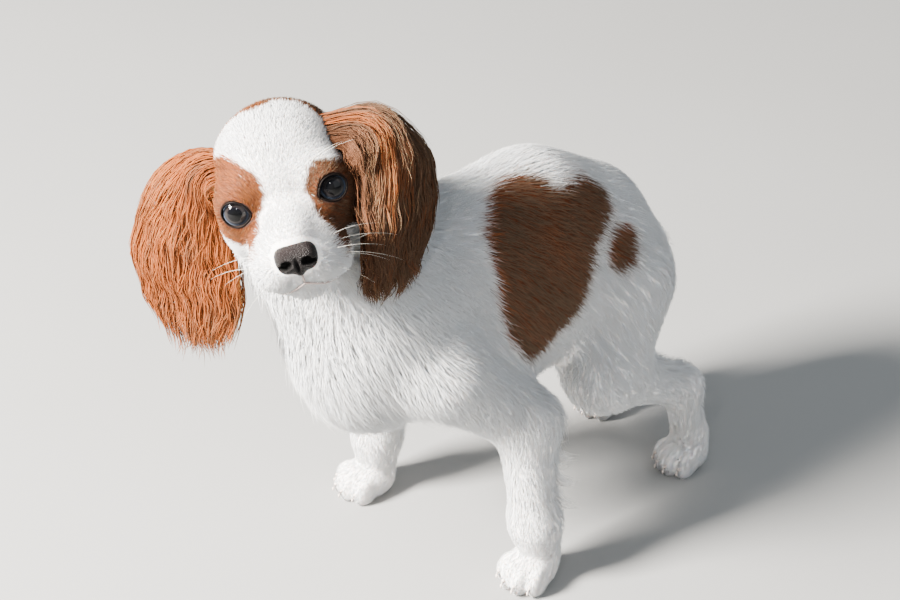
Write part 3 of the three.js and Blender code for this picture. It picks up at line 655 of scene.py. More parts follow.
SIDE_OF_TRUNK = (
    (0, 25, 222, 0, 1, -0.15, 11, 1.9, 2),
    (0, 72, 218, 0, 1, -0.2, 11, 1.9, 1.9),
    (0, 112, 200, 0, 1, -0.5, 11, 1.9, 1.9),
    (0, 140, 175, 0, 0.8, -0.8, 10, 1.9, 1.6),
    (24, 40, 212, 0.5, 1, -0.7, 11, 1.9, 2),
    (26, 90, 200, 0.4, 1, -0.8, 11, 1.9, 2),
    (44, -8, 180, 0.1, 0.7, -0.9, 13, 2.2, 3),
    (46, 30, 170, 0, 1, -1.1, 12, 2, 2.2),
    (46, 60, 160, 0, 1, -1.2, 12, 2, 2.2),
    (44, 50, 125, 0, 0.8, -1.3, 13, 2.2, 2.8),
    (40, 100, 165, 0, 0.9, -1.2, 11, 1.9, 2),
    (20, 40, 98, 0, 1, -0.35, 16, 3, 5),
    (14, 85, 112, 0, 1, 0.1, 13, 2.6, 4),
    (44, 5, 140, 0.1, 0.5, -0.9, 13, 2.2, 2.8),
    (48, 20, 115, 0.1, 0.3, -1, 12, 2.2, 3.2),
    (42, 118, 140, 0.05, 0.45, -1, 11, 1.9, 2.1),
    (44, 100, 112, 0.05, 0.6, -1, 10, 1.9, 2.1),
    (30, 145, 150, 0.1, 0.4, -1, 11, 1.9, 2),
    (22, 150, 120, 0, 0.4, -1, 13, 2.4, 4.5),
    (10, 140, 115, 0, 0.4, -1, 10, 2.2, 3),
    (14, 70, 100, 0, 1, -0.2, 13, 2.4, 4),
)
# Those of the legs are measured from a point between two of their joints, with +x to the outside
ON_FORELEG = (
    (("elbow", "elbow"), (
        (16, 0, -6, 0, 0.1, -1, 8, 1.7, 2),
        (0, -16, -6, 0, 0, -1, 7, 1.5, 1.8),
        (-14, 0, -6, 0, 0.2, -1, 8, 1.5, 2),
        (0, 17, -4, 0.1, 1.0, -0.8, 20, 1.7, 10),
    )),
    (("elbow", "wrist"), (
        (14, 0, 0, 0, 0.15, -1, 7, 1.4, 1.7),
        (0, -14, 0, 0, 0, -1, 6, 1.3, 1.5),
        (-13, 0, 0, 0, 0.2, -1, 7, 1.4, 1.7),
        (0, 15, 0, 0, 1.0, -0.9, 17, 1.5, 8),
    )),
    (("wrist", "wrist"), (
        (12, 0, -4, 0, 0, -1, 5.5, 1.2, 1.4),
        (0, -12, -4, 0, -0.2, -1, 5, 1.2, 1.3),
        (-12, 0, -4, 0, 0, -1, 5.5, 1.2, 1.4),
        (0, 13, 0, 0, 0.5, -1, 10, 1.3, 3.5),
    )),
)
ON_HINDLEG = (
    (("knee", "knee"), (
        (18, 4, -6, 0, 0.6, -1, 9, 1.9, 2.4),
        (0, -20, 0, 0, 0.3, -1, 9, 1.9, 2.4),
        (-14, 4, -6, 0, 0.6, -1, 9, 1.8, 2.2),
    )),
    (("knee", "hock"), (
        (14, 0, 0, 0, 0.8, -0.8, 8, 1.6, 2),
        (0, -10, -10, 0, 0.7, -0.9, 7, 1.5, 1.8),
        (0, 12, 12, 0, 0.7, -0.9, 13, 1.6, 5),
    )),
    (("hock", "hock"), (
        (10, 0, -10, 0, 0.1, -1, 6, 1.3, 1.6),
        (0, -10, -10, 0, 0.1, -1, 5.5, 1.3, 1.5),
        (0, 11, -6, 0, 0.4, -1, 9, 1.3, 3),
    )),
)
TAIL_RISE = (2, 4, 7, 8, 7)


def coat_guides():
    g = []

    def add(place, lie, length, depth, rise):
        g.append((*place, *(np.array(lie, float) / np.linalg.norm(lie)), length, depth, rise))

    for rows, sides in ((MUZZLE_TO_NAPE, (1,)), (SIDE_OF_HEAD, (1, -1))):
        for x, y, z, *lie, length, depth, rise in rows:
            for s in sides:
                add(from_head((x * s, y, z)), HEAD_TURN @ sided(lie, s), length, depth, rise)
    for rows, sides in ((NECK_AND_CHEST, (1,)), (SIDE_OF_TRUNK, (1, -1))):
        for x, y, z, *lie, length, depth, rise in rows:
            for s in sides:
                add((x * s, y, z), sided(lie, s), length, depth, rise)
    for legs, joints in ((FORELEGS, ON_FORELEG), (HINDLEGS, ON_HINDLEG)):
        for leg in legs:
            s = 1 if leg["paw"][0] > 0 else -1
            for (a, b), rows in joints:
                middle = (np.array(leg[a]) + leg[b]) / 2
                for x, y, z, *lie, length, depth, rise in rows:
                    add(middle + (x * s, y, z), sided(lie, s), length, depth, rise)
    for leg in FORELEGS + HINDLEGS:
        x, y, z = leg["paw"]
        ahead = turn("z", leg["turn"]) @ np.array((0.0, -1.0, 0.0))
        add((x, y, z + 14), ahead + (0, 0, -0.5), 4.6, 0.8, 1.3)
        add(np.array((x, y, z + 8)) + ahead * 14, ahead + (0, 0, -0.8), 4, 0.7, 1.1)
        add((x + 13, y, z + 2), ahead + (0.2, 0, -1), 4, 0.7, 1.1)
        add((x - 13, y, z + 2), ahead + (-0.2, 0, -1), 4, 0.7, 1.1)
        add((x, y + 14, z + 4), (0, 0.3, -1), 4.5, 0.8, 1)
    for a, b, rise in zip(TAIL, TAIL[1:], TAIL_RISE):
        at = (np.array(a, float) + b) / 2
        way = unit(np.array(b, float) - a)
        for out in ((10, 0, 0), (-10, 0, 0), (0, -5, -8), (0, 6, 8)):
            add(at + out, way + 0.035 * np.array(out), 16 if b == TAIL[-1] else 20, 1.2, rise)
    return np.array(g)


GUIDES = coat_guides()


BATCH = 20000


def guided(p):
    """Blends the nearest guides at each point: lie, length, depth, rise."""
    out = np.empty((len(p), 6))
    for n in range(0, len(p), BATCH):
        d2 = ((p[n : n + BATCH, None, :] - GUIDES[None, :, :3]) ** 2).sum(-1)
        w = 1 / (d2 + 4) ** 2.5
        out[n : n + BATCH] = (w @ GUIDES[:, 3:]) / w.sum(1, keepdims=True)
    return out[:, :3], out[:, 3], out[:, 4], out[:, 5]


# The skin: one surface under the whole coat, finer on the head
STEP = 2.4
BODY_LOW, BODY_HIGH = (-80, -150, -8), (80, 210, 312)
EYE_REGION = 22
BODY = Sampled(flesh, BODY_LOW, BODY_HIGH, STEP)
opened = BODY.values.copy()
cells = np.stack(np.unravel_index(np.arange(opened.size), opened.shape), -1) * STEP + BODY.low
for side in (1, -1):
    near = np.flatnonzero(((cells - from_head(sided(EYE_AT, side))) ** 2).sum(-1) < EYE_REGION**2)
    opened.ravel()[near] = open_flesh(cells[near])
points, faces = BODY.net(opened)


def onto(form, p, level, times=3):
    """Moves points along the slope of a form to one level of it, and gives the slope there."""
    for _ in range(times):
        e = 0.05
        value = form(p)
        g = np.stack([form(p + np.eye(3)[n] * e) - value for n in range(3)], -1) / e
        step = g * ((value - level) / np.maximum((g * g).sum(-1), 1e-3))[:, None]
        p = p - step * np.minimum(1, 2 / np.maximum(np.linalg.norm(step, axis=-1, keepdims=True), 1e-6))
    return p, unit(g)


skin = mesh_of("skin", points, faces)
bm = bmesh.new()
bm.from_mesh(skin.data)
bm.verts.ensure_lookup_table()
near = head_form(points) < 4
edges = [e for e in bm.edges if near[e.verts[0].index] and near[e.verts[1].index]]
bmesh.ops.subdivide_edges(bm, edges=edges, cuts=1, use_grid_fill=True)
bmesh.ops.triangulate(bm, faces=bm.faces[:])
bm.to_mesh(skin.data)
bm.free()
co = np.empty(len(skin.data.vertices) * 3, np.float32)
skin.data.vertices.foreach_get("co", co)
surface, normal = onto(open_flesh, co.reshape(-1, 3) * 1000.0 - SHIFT, 0, 6)


def lid_thin(p):
    """The coat is thinner at the rims of the eyes."""
    return smooth(np.minimum(eye_cone(p, 1), eye_cone(p, -1)), 0, 3)


deep = guided(surface)[2] * lid_thin(surface)
under = surface - normal * deep[:, None]
under[:, 2] = np.maximum(under[:, 2], 0.4 - SHIFT[2])
skin.data.vertices.foreach_set("co", ((under + SHIFT) / 1000).astype(np.float32).ravel())
skin.data.shade_smooth()
note(skin, "chestnut", smooth(chestnut(surface), -0.7, 0.7))
rim = np.minimum(*[eye_cone(under, s) for s in (1, -1)])
note(skin, "dark", 1 - smooth(rim, 0.4, 2.2))
skin.data.materials.append(SKIN)
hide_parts("head", "neck", "torso", "tail", "foreleg_left", "foreleg_right", "forepaw_left",
            "forepaw_right", "hindleg_left", "hindleg_right", "hindpaw_left", "hindpaw_right")


# Tufts: closed slips of three sides that run along a path and taper to a point
TUFT_PATCH = 0.0028
SOFTEN = 0.7


def slips(name, paths, up, wide, thick, chestnut_and_shade, tint, uv, normals=None):
    """One piece of coat. With normals of the skin, the tufts are shaded more like it."""
    n, rings = paths.shape[0], paths.shape[1] - 1
    way = unit(np.diff(paths, axis=1))
    across = unit(np.cross(way, up[:, :rings]))
    lift = np.cross(across, way)
    centre = paths[:, :rings]
    w, t = wide[:, :, None], thick[:, :, None]
    ring = np.stack([centre + across * w, centre + lift * t, centre - across * w], 2)
    points = np.concatenate([ring.reshape(n, rings * 3, 3), paths[:, -1:]], 1)
    size = rings * 3 + 1
    tris = [(0, 1, 2)]
    for k in range(rings - 1):
        a = k * 3
        for i in range(3):
            j = (i + 1) % 3
            tris += [(a + i, a + 3 + i, a + j), (a + j, a + 3 + i, a + 3 + j)]
    a = (rings - 1) * 3
    tris += [(a + i, size - 1, a + (i + 1) % 3) for i in range(3)]
    faces = (np.array(tris)[None] + (np.arange(n) * size)[:, None, None]).reshape(-1, 3)
    o = mesh_of(name, points.reshape(-1, 3), faces)
    along = np.concatenate([np.repeat(np.arange(rings) / rings, 3), [1]])
    note(o, "along", np.tile(along, n))
    note(o, "chestnut", np.concatenate([np.repeat(chestnut_and_shade[:, :rings], 3, 1), chestnut_and_shade[:, -1:]], 1))
    note(o, "tint", np.repeat(tint, size))
    place = np.concatenate([np.tile((-1.0, 0.0, 1.0), rings), [0]]) * TUFT_PATCH / 2
    patch = np.stack([np.tile(place, (n, 1)), np.tile((along - 0.5) * TUFT_PATCH, (n, 1))], -1) + uv[:, None]
    layer = o.data.uv_layers.new(name="OFBake")
    layer.data.foreach_set("uv", patch.reshape(-1, 2)[faces.ravel()].astype(np.float32).ravel())
    if normals is not None:
        own = np.stack([across * 0.75 + lift * 0.66, lift, lift * 0.66 - across * 0.75], 2)
        own = np.concatenate([own.reshape(n, rings * 3, 3), lift[:, -1:]], 1)
        skinward = np.repeat(normals[:, :, None], 3, 2).reshape(n, -1, 3)[:, :size]
        o.data.normals_split_custom_set_from_vertices(
            unit(own * (1 - SOFTEN) + skinward * SOFTEN).reshape(-1, 3).astype(np.float32)
        )
    o.data.materials.append(COAT)


def cube_uv(p, n):
    """A place in one of six charts, by the side that the skin faces there."""
    low, high = p.min(0), p.max(0)
    q = (p - low) / np.maximum(high - low, 1e-6)
    axis = np.abs(n).argmax(-1)
    side = n[np.arange(len(n)), axis] > 0
    u = np.where(axis == 0, q[:, 1], q[:, 0])
    v = np.where(axis == 2, q[:, 1], q[:, 2])
    return np.stack([(axis + 0.03 + 0.94 * u) / 3, (side + 0.02 + 0.96 * v) / 2], -1)


PIECE_TRIANGLES = 190000
CLUMP = 5.0
GATHER = 0.25
PARTING = (8.5, 13)
BARE_EYE = 5.9
STRAY_SHARE, STRAY_LENGTH = 0.07, 11


def roots_on(density):
    """Spreads points over the skin, with so many to a square millimetre at each corner of it."""
    me = skin.data
    me.calc_loop_triangles()
    tri = np.empty(len(me.loop_triangles) * 3, np.int32)
    me.loop_triangles.foreach_get("vertices", tri)
    tri = tri.reshape(-1, 3)
    a, b, c = under[tri[:, 0]], under[tri[:, 1]], under[tri[:, 2]]
    area = np.linalg.norm(np.cross(b - a, c - a), axis=-1) / 2
    load = np.cumsum(area * density[tri].mean(1))
    count = int(load[-1])
    pick = np.searchsorted(load, (np.arange(count) + rng.random(count)) / count * load[-1])
    pick = np.minimum(pick, len(tri) - 1)
    r1, r2 = np.sqrt(rng.random(count))[:, None], rng.random(count)[:, None]
    return a[pick] * (1 - r1) + b[pick] * r1 * (1 - r2) + c[pick] * r1 * r2


def clump_of(p):
    """The middle of the clump that a root belongs to, and three random values of that clump."""
    cell = np.floor(p / CLUMP).astype(np.int64)
    h = (cell[:, 0] * 73856093 ^ cell[:, 1] * 19349663 ^ cell[:, 2] * 83492791) + 11
    r = np.stack([((h * k) % 9973) / 9973.0 for k in (7919, 104729, 1299709)], -1)
    return (cell + 0.2 + 0.6 * r) * CLUMP, r


def near_eye(p):
    """Where no hair may pass, so that the eyes stay bare."""
    local = to_head(p)
    hit = np.zeros(p.shape[:-1], bool)
    for s in (1, -1):
        q = local - sided(EYE_AT, s)
        gaze = unit(sided(EYE_LOOK, s))
        ahead = q @ gaze
        off = np.linalg.norm(q - ahead[..., None] * gaze, axis=-1)
        hit |= (ahead > 0) & (off < BARE_EYE)
    if p.size:
        flat = p.reshape(-1, 3)
        close = np.linalg.norm(to_head(flat), axis=-1) < 60
        cone = np.full(len(flat), 9.0)
        cone[close] = np.minimum(eye_cone(flat[close], 1), eye_cone(flat[close], -1))
        hit |= cone.reshape(hit.shape) < 0.25
    return hit


def parted(p, lie):
    """Turns the lie of the coat away from the eyes."""
    for s in (1, -1):
        q = to_head(p) - sided(EYE_AT, s)
        right, up, gaze = eye_axes(s)
        out = unit((q @ right)[:, None] * right + (q @ up)[:, None] * up) @ HEAD_TURN.T
        close = (1 - smooth(np.hypot(q @ right, q @ up), *PARTING)) * (q @ gaze > 0)
        lie = lie - out * (close * np.minimum(dot(lie, out)[:, 0] - 0.25, 0))[:, None]
    return lie


def walk(p, n, lie, length, depth, rise, rings, sway, hub):
    """Steps from the roots along the lie, at a height over the skin that grows to the tips."""
    paths, norms, here = [p - n * 0.5], [n], p
    for k in range(1, rings + 1):
        t = k / rings
        d = unit(lie - n * dot(n, lie))
        side = np.cross(n, d)
        pull = -side * dot(side, here - hub) * GATHER * t / np.maximum(length, 1)[:, None] * rings * 0.5
        d = unit(d + side * sway(t) + pull)
        here = here + d * (length / rings)[:, None]
        f, n = BODY.look(here)
        here = here - n * (f - (rise * t**0.85 - depth))[:, None] * 0.9
        paths.append(here)
        norms.append(n)
    return np.stack(paths, 1), np.stack(norms, 1)


def colours(p, paths, chance):
    """How chestnut each tuft is along its length, above one where painted shadow darkens it, and its tint,
    which mixes random tone with painted shade.
    """
    count, middle = len(p), paths.shape[1] // 2
    on_trunk, tint_spread = p[:, 1] > 0, np.where(p[:, 1] > -60, 0.14, 0.22)
    mark = np.stack([chestnut(paths[:, k]) for k in range(paths.shape[1])], 1)
    mark = 0.75 * mark + 0.25 * mark[:, middle, None] + rng.normal(0, 0.6, count)[:, None]
    # Painted shade: on the head the chestnut runs above one, into painted shadow that varies from tuft to
    # tuft; the chestnut of the trunk and of the left side of the head starts near the shaded colour, that of
    # the right side near the lit one.
    chestnut_and_shade = smooth(mark, -1.2, 1.2) * np.where(on_trunk, 1.0, 1.6 + rng.normal(0, 0.25, count))[:, None]
    tone_and_shade_base = np.where(chestnut_and_shade[:, 0] > 0.5, np.where(on_trunk, 0.95, 0.2 + 0.8 * (to_head(p)[:, 0] > 0)), 0.3)
    tint = 0.25 * wobble(p, 22, 8) + 0.2 * (chance[:, 1] - 0.5) + rng.normal(0, tint_spread)
    return chestnut_and_shade, np.clip(tone_and_shade_base + tint * np.where(on_trunk, 0.6, 1), 0, 1)


def grow(name, p, thin, rings, curl):
    """Grows tufts from the roots p along the lie of the coat and makes them pieces of at most PIECE_TRIANGLES
    triangles.
    """
    lie, length, depth, rise = guided(p)
    depth = depth * lid_thin(p)
    count = len(p)
    vary = rng.uniform(0.75, 1.25, count)
    stray = (rng.random(count) < STRAY_SHARE) & (length > STRAY_LENGTH)
    length = length * vary * np.where(stray, 1.45, 1)
    rise = rise * rng.uniform(0.5, 1.1, count) * np.where(stray, np.where(p[:, 1] > 20, 1.3, 1.7), 1)
    n0 = BODY.look(p)[1]
    hub, chance = clump_of(p)
    lie = parted(p, lie) + 0.10 * rng.normal(size=p.shape) + 0.16 * (chance - 0.5)
    bend = rng.choice((-1.0, 1.0), count) * curl
    phase = (chance[:, 0] + rng.uniform(-0.08, 0.08, count)) * 2 * math.pi

    def sway(t):
        return np.sin(phase + t * 5.0)[:, None] * bend[:, None]

    paths, norms = walk(p, n0, lie, length, depth, rise, rings, sway, hub)
    taper = np.linspace(1, 0.45, rings) ** 0.8
    fine = np.clip(length / 7, 0.72, 1.0) * np.where(stray, 0.6, 1)
    wide = (thin * rng.uniform(0.75, 1.25, count) * fine)[:, None] * taper
    chestnut_and_shade, tint = colours(p, paths, chance)
    on_nose = nose_form(to_head(paths).reshape(-1, 3)).reshape(paths.shape[:2]) < 0.2
    order = np.flatnonzero(~(near_eye(paths) | on_nose | (paths[..., 2] <= 0.1)).any(1))
    triangles = 6 * rings - 2
    parts = max(1, math.ceil(len(order) / (PIECE_TRIANGLES // triangles)))
    order = order[np.argsort(p[order, 1])]
    for m, i in enumerate(np.array_split(order, parts)):
        piece = f"{name}_{m + 1}" if parts > 1 else name
        slips(piece, paths[i], norms[i], wide[i], wide[i] * 0.55, chestnut_and_shade[i], tint[i],
              cube_uv(p[i], n0[i]), normals=norms[i])


less = 1.0
wider = 1.0
region_forms = [head_form(surface), neck_form(surface), torso_form(surface)]
region_forms += [foreleg_form(surface, leg) for leg in FORELEGS]
region_forms += [hindleg_form(surface, leg) for leg in HINDLEGS]
region_forms += [tail_form(surface)]
region = np.stack(region_forms, -1).argmin(-1)
# Of each region in turn: tufts to a square millimetre, half width, rings and curl
FORELEG_COAT, HINDLEG_COAT = (0.52, 0.38, 2, 0.10), (0.50, 0.40, 2, 0.08)
GROWTH = dict(
    head=(1.6, 0.28, 2, 0.06),
    neck=(0.64, 0.36, 3, 0.16),
    trunk=(0.62, 0.35, 2, 0.08),
    foreleg_left=FORELEG_COAT,
    foreleg_right=FORELEG_COAT,
    hindleg_left=HINDLEG_COAT,
    hindleg_right=HINDLEG_COAT,
    tail=(0.7, 0.45, 4, 0.2),
)
dense = np.clip(7 / guided(surface)[1], 0.85, 1.5)
for k, (part, (each, thin, rings, curl)) in enumerate(GROWTH.items()):
    roots = roots_on(np.where(region == k, each * less * dense, 0.0))
    grow("coat_" + part, roots, thin * wider, rings, curl)


# Ears: a cupped leaf of leather and long waved strands
WAVE_LENGTH = 24.0
EAR_RINGS = 6
LEATHER_START = -0.12


def spread(values, t):
    x = np.clip(t, 0, 1) * (len(values) - 1)
    return np.interp(x, np.arange(len(values)), values)


class Ear:
    """A leaf along a smooth path: t runs down from the root, u across, h out of the face."""

    def __init__(self, side, path, width, across):
        self.side, self.width = side, np.array(width, float)
        self.p = np.array(path, float)
        self.across = unit(np.array(across, float))
        self.back = HEAD_TURN @ np.array((0.0, 1.0, 0.0))
        self.long = np.linalg.norm(np.diff(self.p, axis=0), axis=1).sum()

    def at(self, t):
        p = np.vstack([2 * self.p[0] - self.p[1], self.p, 2 * self.p[-1] - self.p[-2]])
        x = np.clip(t, 0, 1) * (len(self.p) - 1)
        i = np.minimum(np.floor(x).astype(int), len(self.p) - 2)
        f = (x - i)[:, None]
        a, b, c, d = (p[i + k] for k in range(4))
        square, cube = 2 * a - 5 * b + 4 * c - d, 3 * b - a - 3 * c + d
        place = 0.5 * (2 * b + (c - a) * f + square * f**2 + cube * f**3)
        run = unit(0.5 * ((c - a) + 2 * square * f + 3 * cube * f**2))
        mix = smooth(np.clip(t, 0, 1), 0, 0.45)[:, None]
        across = unit(self.back * (1 - mix) + self.across * mix)
        face = unit(np.cross(run, across))
        wide = np.cross(face, run)
        return place + run * ((t - np.clip(t, 0, 1)) * self.long)[:, None], run, face, wide

    def front(self, t):
        """How far the hair reaches to the front: the left ear is drawn back below its root."""
        return 0.98 if self.side < 0 else 0.98 - 0.24 * smooth(t, 0.2, 0.4)

    def leaf(self, t, u, h):
        place, _, face, wide = self.at(t)
        width = spread(self.width, t)
        cup = self.side * spread(EAR_CUP, t) * width
        return place + wide * (u * width)[:, None] + face * (self.side * h - cup * u**2)[:, None]


def ear_leather(ear, name):
    rows, cols = 40, 24
    t, a = np.meshgrid(np.linspace(0, 1, rows), np.arange(cols) / cols * 2 * math.pi, indexing="ij")
    t, a = t.ravel(), a.ravel()
    along = LEATHER_START + t * (EAR_LEATHER["long"] - LEATHER_START)
    end = np.sqrt(np.clip(1 - ((t - 0.8) / 0.2).clip(0, 1) ** 2, 0.0004, 1))
    thick = spread(EAR_LEATHER["thick"], t) * 0.4 * end
    wide = EAR_LEATHER["wide"] + (0.2 if ear.side > 0 else 0) * (1 - smooth(along, 0.1, 0.35))
    p = ear.leaf(along, np.cos(a) * wide * end, np.sin(a) * thick)
    quad = wrapped(rows, cols)
    n = np.arange(cols)
    first, last = np.full(cols, rows * cols), np.full(cols, rows * cols + 1)
    edge = (rows - 1) * cols
    caps = [np.stack([first, (n + 1) % cols, n], -1), np.stack([n + edge, (n + 1) % cols + edge, last], -1)]
    p = np.vstack([p, p[:cols].mean(0), p[-cols:].mean(0)])
    tris = np.concatenate([quad[:, (0, 3, 2)], quad[:, (0, 2, 1)], *caps])
    if ear.side > 0:
        tris = tris[:, ::-1]
    o = mesh_of(name, p, tris)
    note(o, "chestnut", np.ones(len(p)))
    note(o, "dark", np.zeros(len(p)))
    o.data.materials.append(SKIN)
    return o


def ear_coat(ear, clumps, each, thin):
    """Strands in clumps over both faces of an ear, each waved and tapered, with their colours and their
    painted light and shade.
    """
    t0 = rng.uniform(-0.06, 0.86, clumps)
    u0 = rng.uniform(-ear.front(t0), 0.98, clumps) * np.where(t0 < 0.12, 1.12, 1)
    outer = rng.random(clumps) < 0.78
    h0 = np.where(outer, rng.uniform(1.5, 5.0, clumps), rng.uniform(-3.5, -1.0, clumps))
    last = 0.93 + 0.09 * rng.random(clumps) - 0.06 * u0**2
    broad = np.maximum(ear.width, np.array((0, 0, 0, 0, 0, 0, 17)))
    run = np.minimum(rng.uniform(0.24, 0.40, clumps), np.maximum(last - t0, 0.10))
    phase = 2.4 * u0 + 5.0 * t0 + rng.normal(0, 0.7, clumps)
    wave = rng.uniform(0.4, 1.3, clumps) * (0.35 + 1.1 * np.clip(t0 + 0.2, 0, 1))
    fan = rng.normal(0, 0.05, clumps)
    curl = rng.normal(0, 1, clumps) * (0.8 + 2.2 * np.clip(t0, 0, 1))
    tone = rng.normal(0, 0.17, clumps)
    # From here on, one value to a strand
    i = np.repeat(np.arange(clumps), each)
    n = len(i)
    st, su = rng.normal(0, 0.03, n) * np.where(t0[i] < 0.1, 1.4, 1), rng.normal(0, 0.11, n)
    sh = rng.normal(0, 0.7, n)
    late = rng.normal(0, 0.4, n)
    long = run[i] * rng.uniform(0.72, 1.12, n)
    stray = np.where(rng.random(n) < 0.06, rng.uniform(1.5, 3.0, n), 1.0)
    paths, ups = [], []
    for k in range(EAR_RINGS + 1):
        s = k / EAR_RINGS
        t = t0[i] + st + long * s
        u = u0[i] * (1 + 0.10 * s) + su * (1 - 0.6 * s) * np.where(stray > 1, 1.6, 1) + fan[i] * s
        ripple = 2 * math.pi * (t * ear.long / WAVE_LENGTH) + phase[i] + late
        width = spread(ear.width, t)
        u = u * spread(broad, t) / width
        swing = wave[i] * stray * (0.3 + 0.7 * s)
        u = u + (swing * np.sin(ripple) + curl[i] * s**4 * np.where(stray > 1, 2.5, 1)) / width
        edge = np.where(stray > 1, 1.06 if ear.side < 0 else 1.2, 1.02) * spread(broad, t) / width
        u = np.clip(u, -edge * ear.front(t), edge)
        h = (h0[i] + sh) * (0.35 + 0.65 * s**0.5) + swing * 0.8 * np.cos(ripple * 0.97)
        h = h * (1 + (0.4 if ear.side < 0 else 1.2) * np.exp(-(((t - 0.2) / 0.16) ** 2)))
        paths.append(ear.leaf(t, u, h))
        face = ear.at(t)[2] * ear.side
        ups.append(np.where(h0[i][:, None] > 0, face, -face))
    paths, ups = np.stack(paths, 1), np.stack(ups, 1)
    taper = np.sin(np.linspace(1.0, 2.8, EAR_RINGS)) ** 0.8
    wide = thin * rng.uniform(0.7, 1.3, n)[:, None] * taper
    # Painted light and shade: on the left ear a band near the root and the front is painted lit, and away
    # from it the strands take the shaded chestnut through their tint and painted shadow through chestnut
    # values above one; the right ear is painted lit. Strands on the inner face take more of the shaded
    # chestnut, as painted shade under the ear.
    lit_band = np.exp(-(((t0[i] - 0.13) / 0.2) ** 2) - ((u0[i] + 0.25) / 0.3) ** 2)
    painted_shade = 0.12 if ear.side < 0 else 1.0 - 0.8 * lit_band
    dark = 0 if ear.side < 0 else np.clip(1 - 1.4 * lit_band, 0, 1) * (0.4 + 0.45 * smooth(-u0[i], 0.35, 0.75))
    chestnut_and_shade = np.ones((n, EAR_RINGS + 1)) + (dark * np.ones(n))[:, None]
    tint = np.clip(painted_shade + tone[i] + rng.normal(0, 0.12, n) + np.where(h0[i] < 0, 0.35, 0), 0, 1)
    uv = np.stack([(0.04 + 0.92 * np.clip(t0[i] + st, 0, 1)),
                   0.5 * (h0[i] > 0) + 0.02 + 0.46 * (np.clip(u0[i] + su, -1, 1) + 1) / 2], -1)
    return paths, ups, wide, chestnut_and_shade, tint, uv


for spec, label in ((EAR_LEFT, "left"), (EAR_RIGHT, "right")):
    ear = Ear(**spec)
    leather = ear_leather(ear, "ear_leather_" + label)
    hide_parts("ear_" + label)
    coat = ear_coat(ear, 300, 20, 0.34)
    for half in (0, 1):
        paths, ups, wide, chestnut_and_shade, tint, uv = (a[half::2] for a in coat)
        name = f"coat_ear_{label}_{half + 1}"
        slips(name, paths, ups, wide, wide * 0.6, chestnut_and_shade, tint, uv)


# Longer wisps behind the elbows and forearms
def feathers(leg, locks, each):
    a, b = np.array(leg["elbow"], float), np.array(leg["wrist"], float)
    i = np.repeat(np.arange(locks), each)
    n = len(i)
    t = np.linspace(0.12, 0.66, locks) + rng.normal(0, 0.02, locks)
    swing = rng.normal(0.3, 0.25, locks)
    s = 1 if a[0] > 0 else -1

    def outward(angle):
        return np.stack([s * np.sin(angle), np.cos(angle), 0 * angle], -1)

    def root(t, angle):
        return onto(flesh, a + (b - a) * t[:, None] + outward(angle) * 17, -1.5)[0]

    hub, way = root(t, swing), outward(swing)
    long = rng.uniform(11, 20, locks)[i, None] * rng.uniform(0.75, 1.1, (n, 1))
    p = root(t[i] + rng.normal(0, 0.03, n), swing[i] + rng.normal(0, 0.16, n))
    bend = p + (way[i] * 0.2 - (0, 0, 0.5)) * long
    tip = 0.6 * hub[i] + 0.4 * p + (way[i] * rng.uniform(0.6, 1.0, (n, 1)) - (0, 0, 0.7)) * long
    k = (np.arange(5) / 4)[None, :, None]
    paths = p[:, None] * (1 - k) ** 2 + bend[:, None] * 2 * k * (1 - k) + tip[:, None] * k**2
    return paths, np.repeat(way[i][:, None], 5, 1), way[i]


for leg, label in zip(FORELEGS, ("left", "right")):
    paths, ups, out = feathers(leg, 10, 26)
    wide = 0.26 * wider * np.linspace(1, 0.5, 4) * rng.uniform(0.7, 1.2, (len(out), 1))
    white, tint = np.zeros(paths.shape[:2]), rng.uniform(0, 0.5, len(out))
    slips("coat_feathers_" + label, paths, ups, wide, wide * 0.6, white, tint,
          cube_uv(paths[:, 0], out))


# Eyes, lids and nose
def eye(side, label):
    rows, cols = 40, 48
    a, b = np.meshgrid(np.linspace(0, math.pi, rows), np.arange(cols) / cols * 2 * math.pi, indexing="ij")
    a, b = a.ravel(), b.ravel()
    right, up, gaze = eye_axes(side)
    ring = np.sin(a)[:, None] * (np.cos(b)[:, None] * right + np.sin(b)[:, None] * up)
    cornea = 1 + 0.035 * np.exp(-((a / 0.42) ** 2))
    p = sided(EYE_AT, side) + EYE_RADIUS * 0.985 * (np.cos(a)[:, None] * gaze + ring) * cornea[:, None]
    o = mesh_of("eyeball_" + label, from_head(p), wrapped(rows, cols))
    note(o, "off", a / math.pi)
    note(o, "below", (1 - np.sin(b) * np.sin(a)) / 2)
    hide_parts("eye_" + label)
    return o


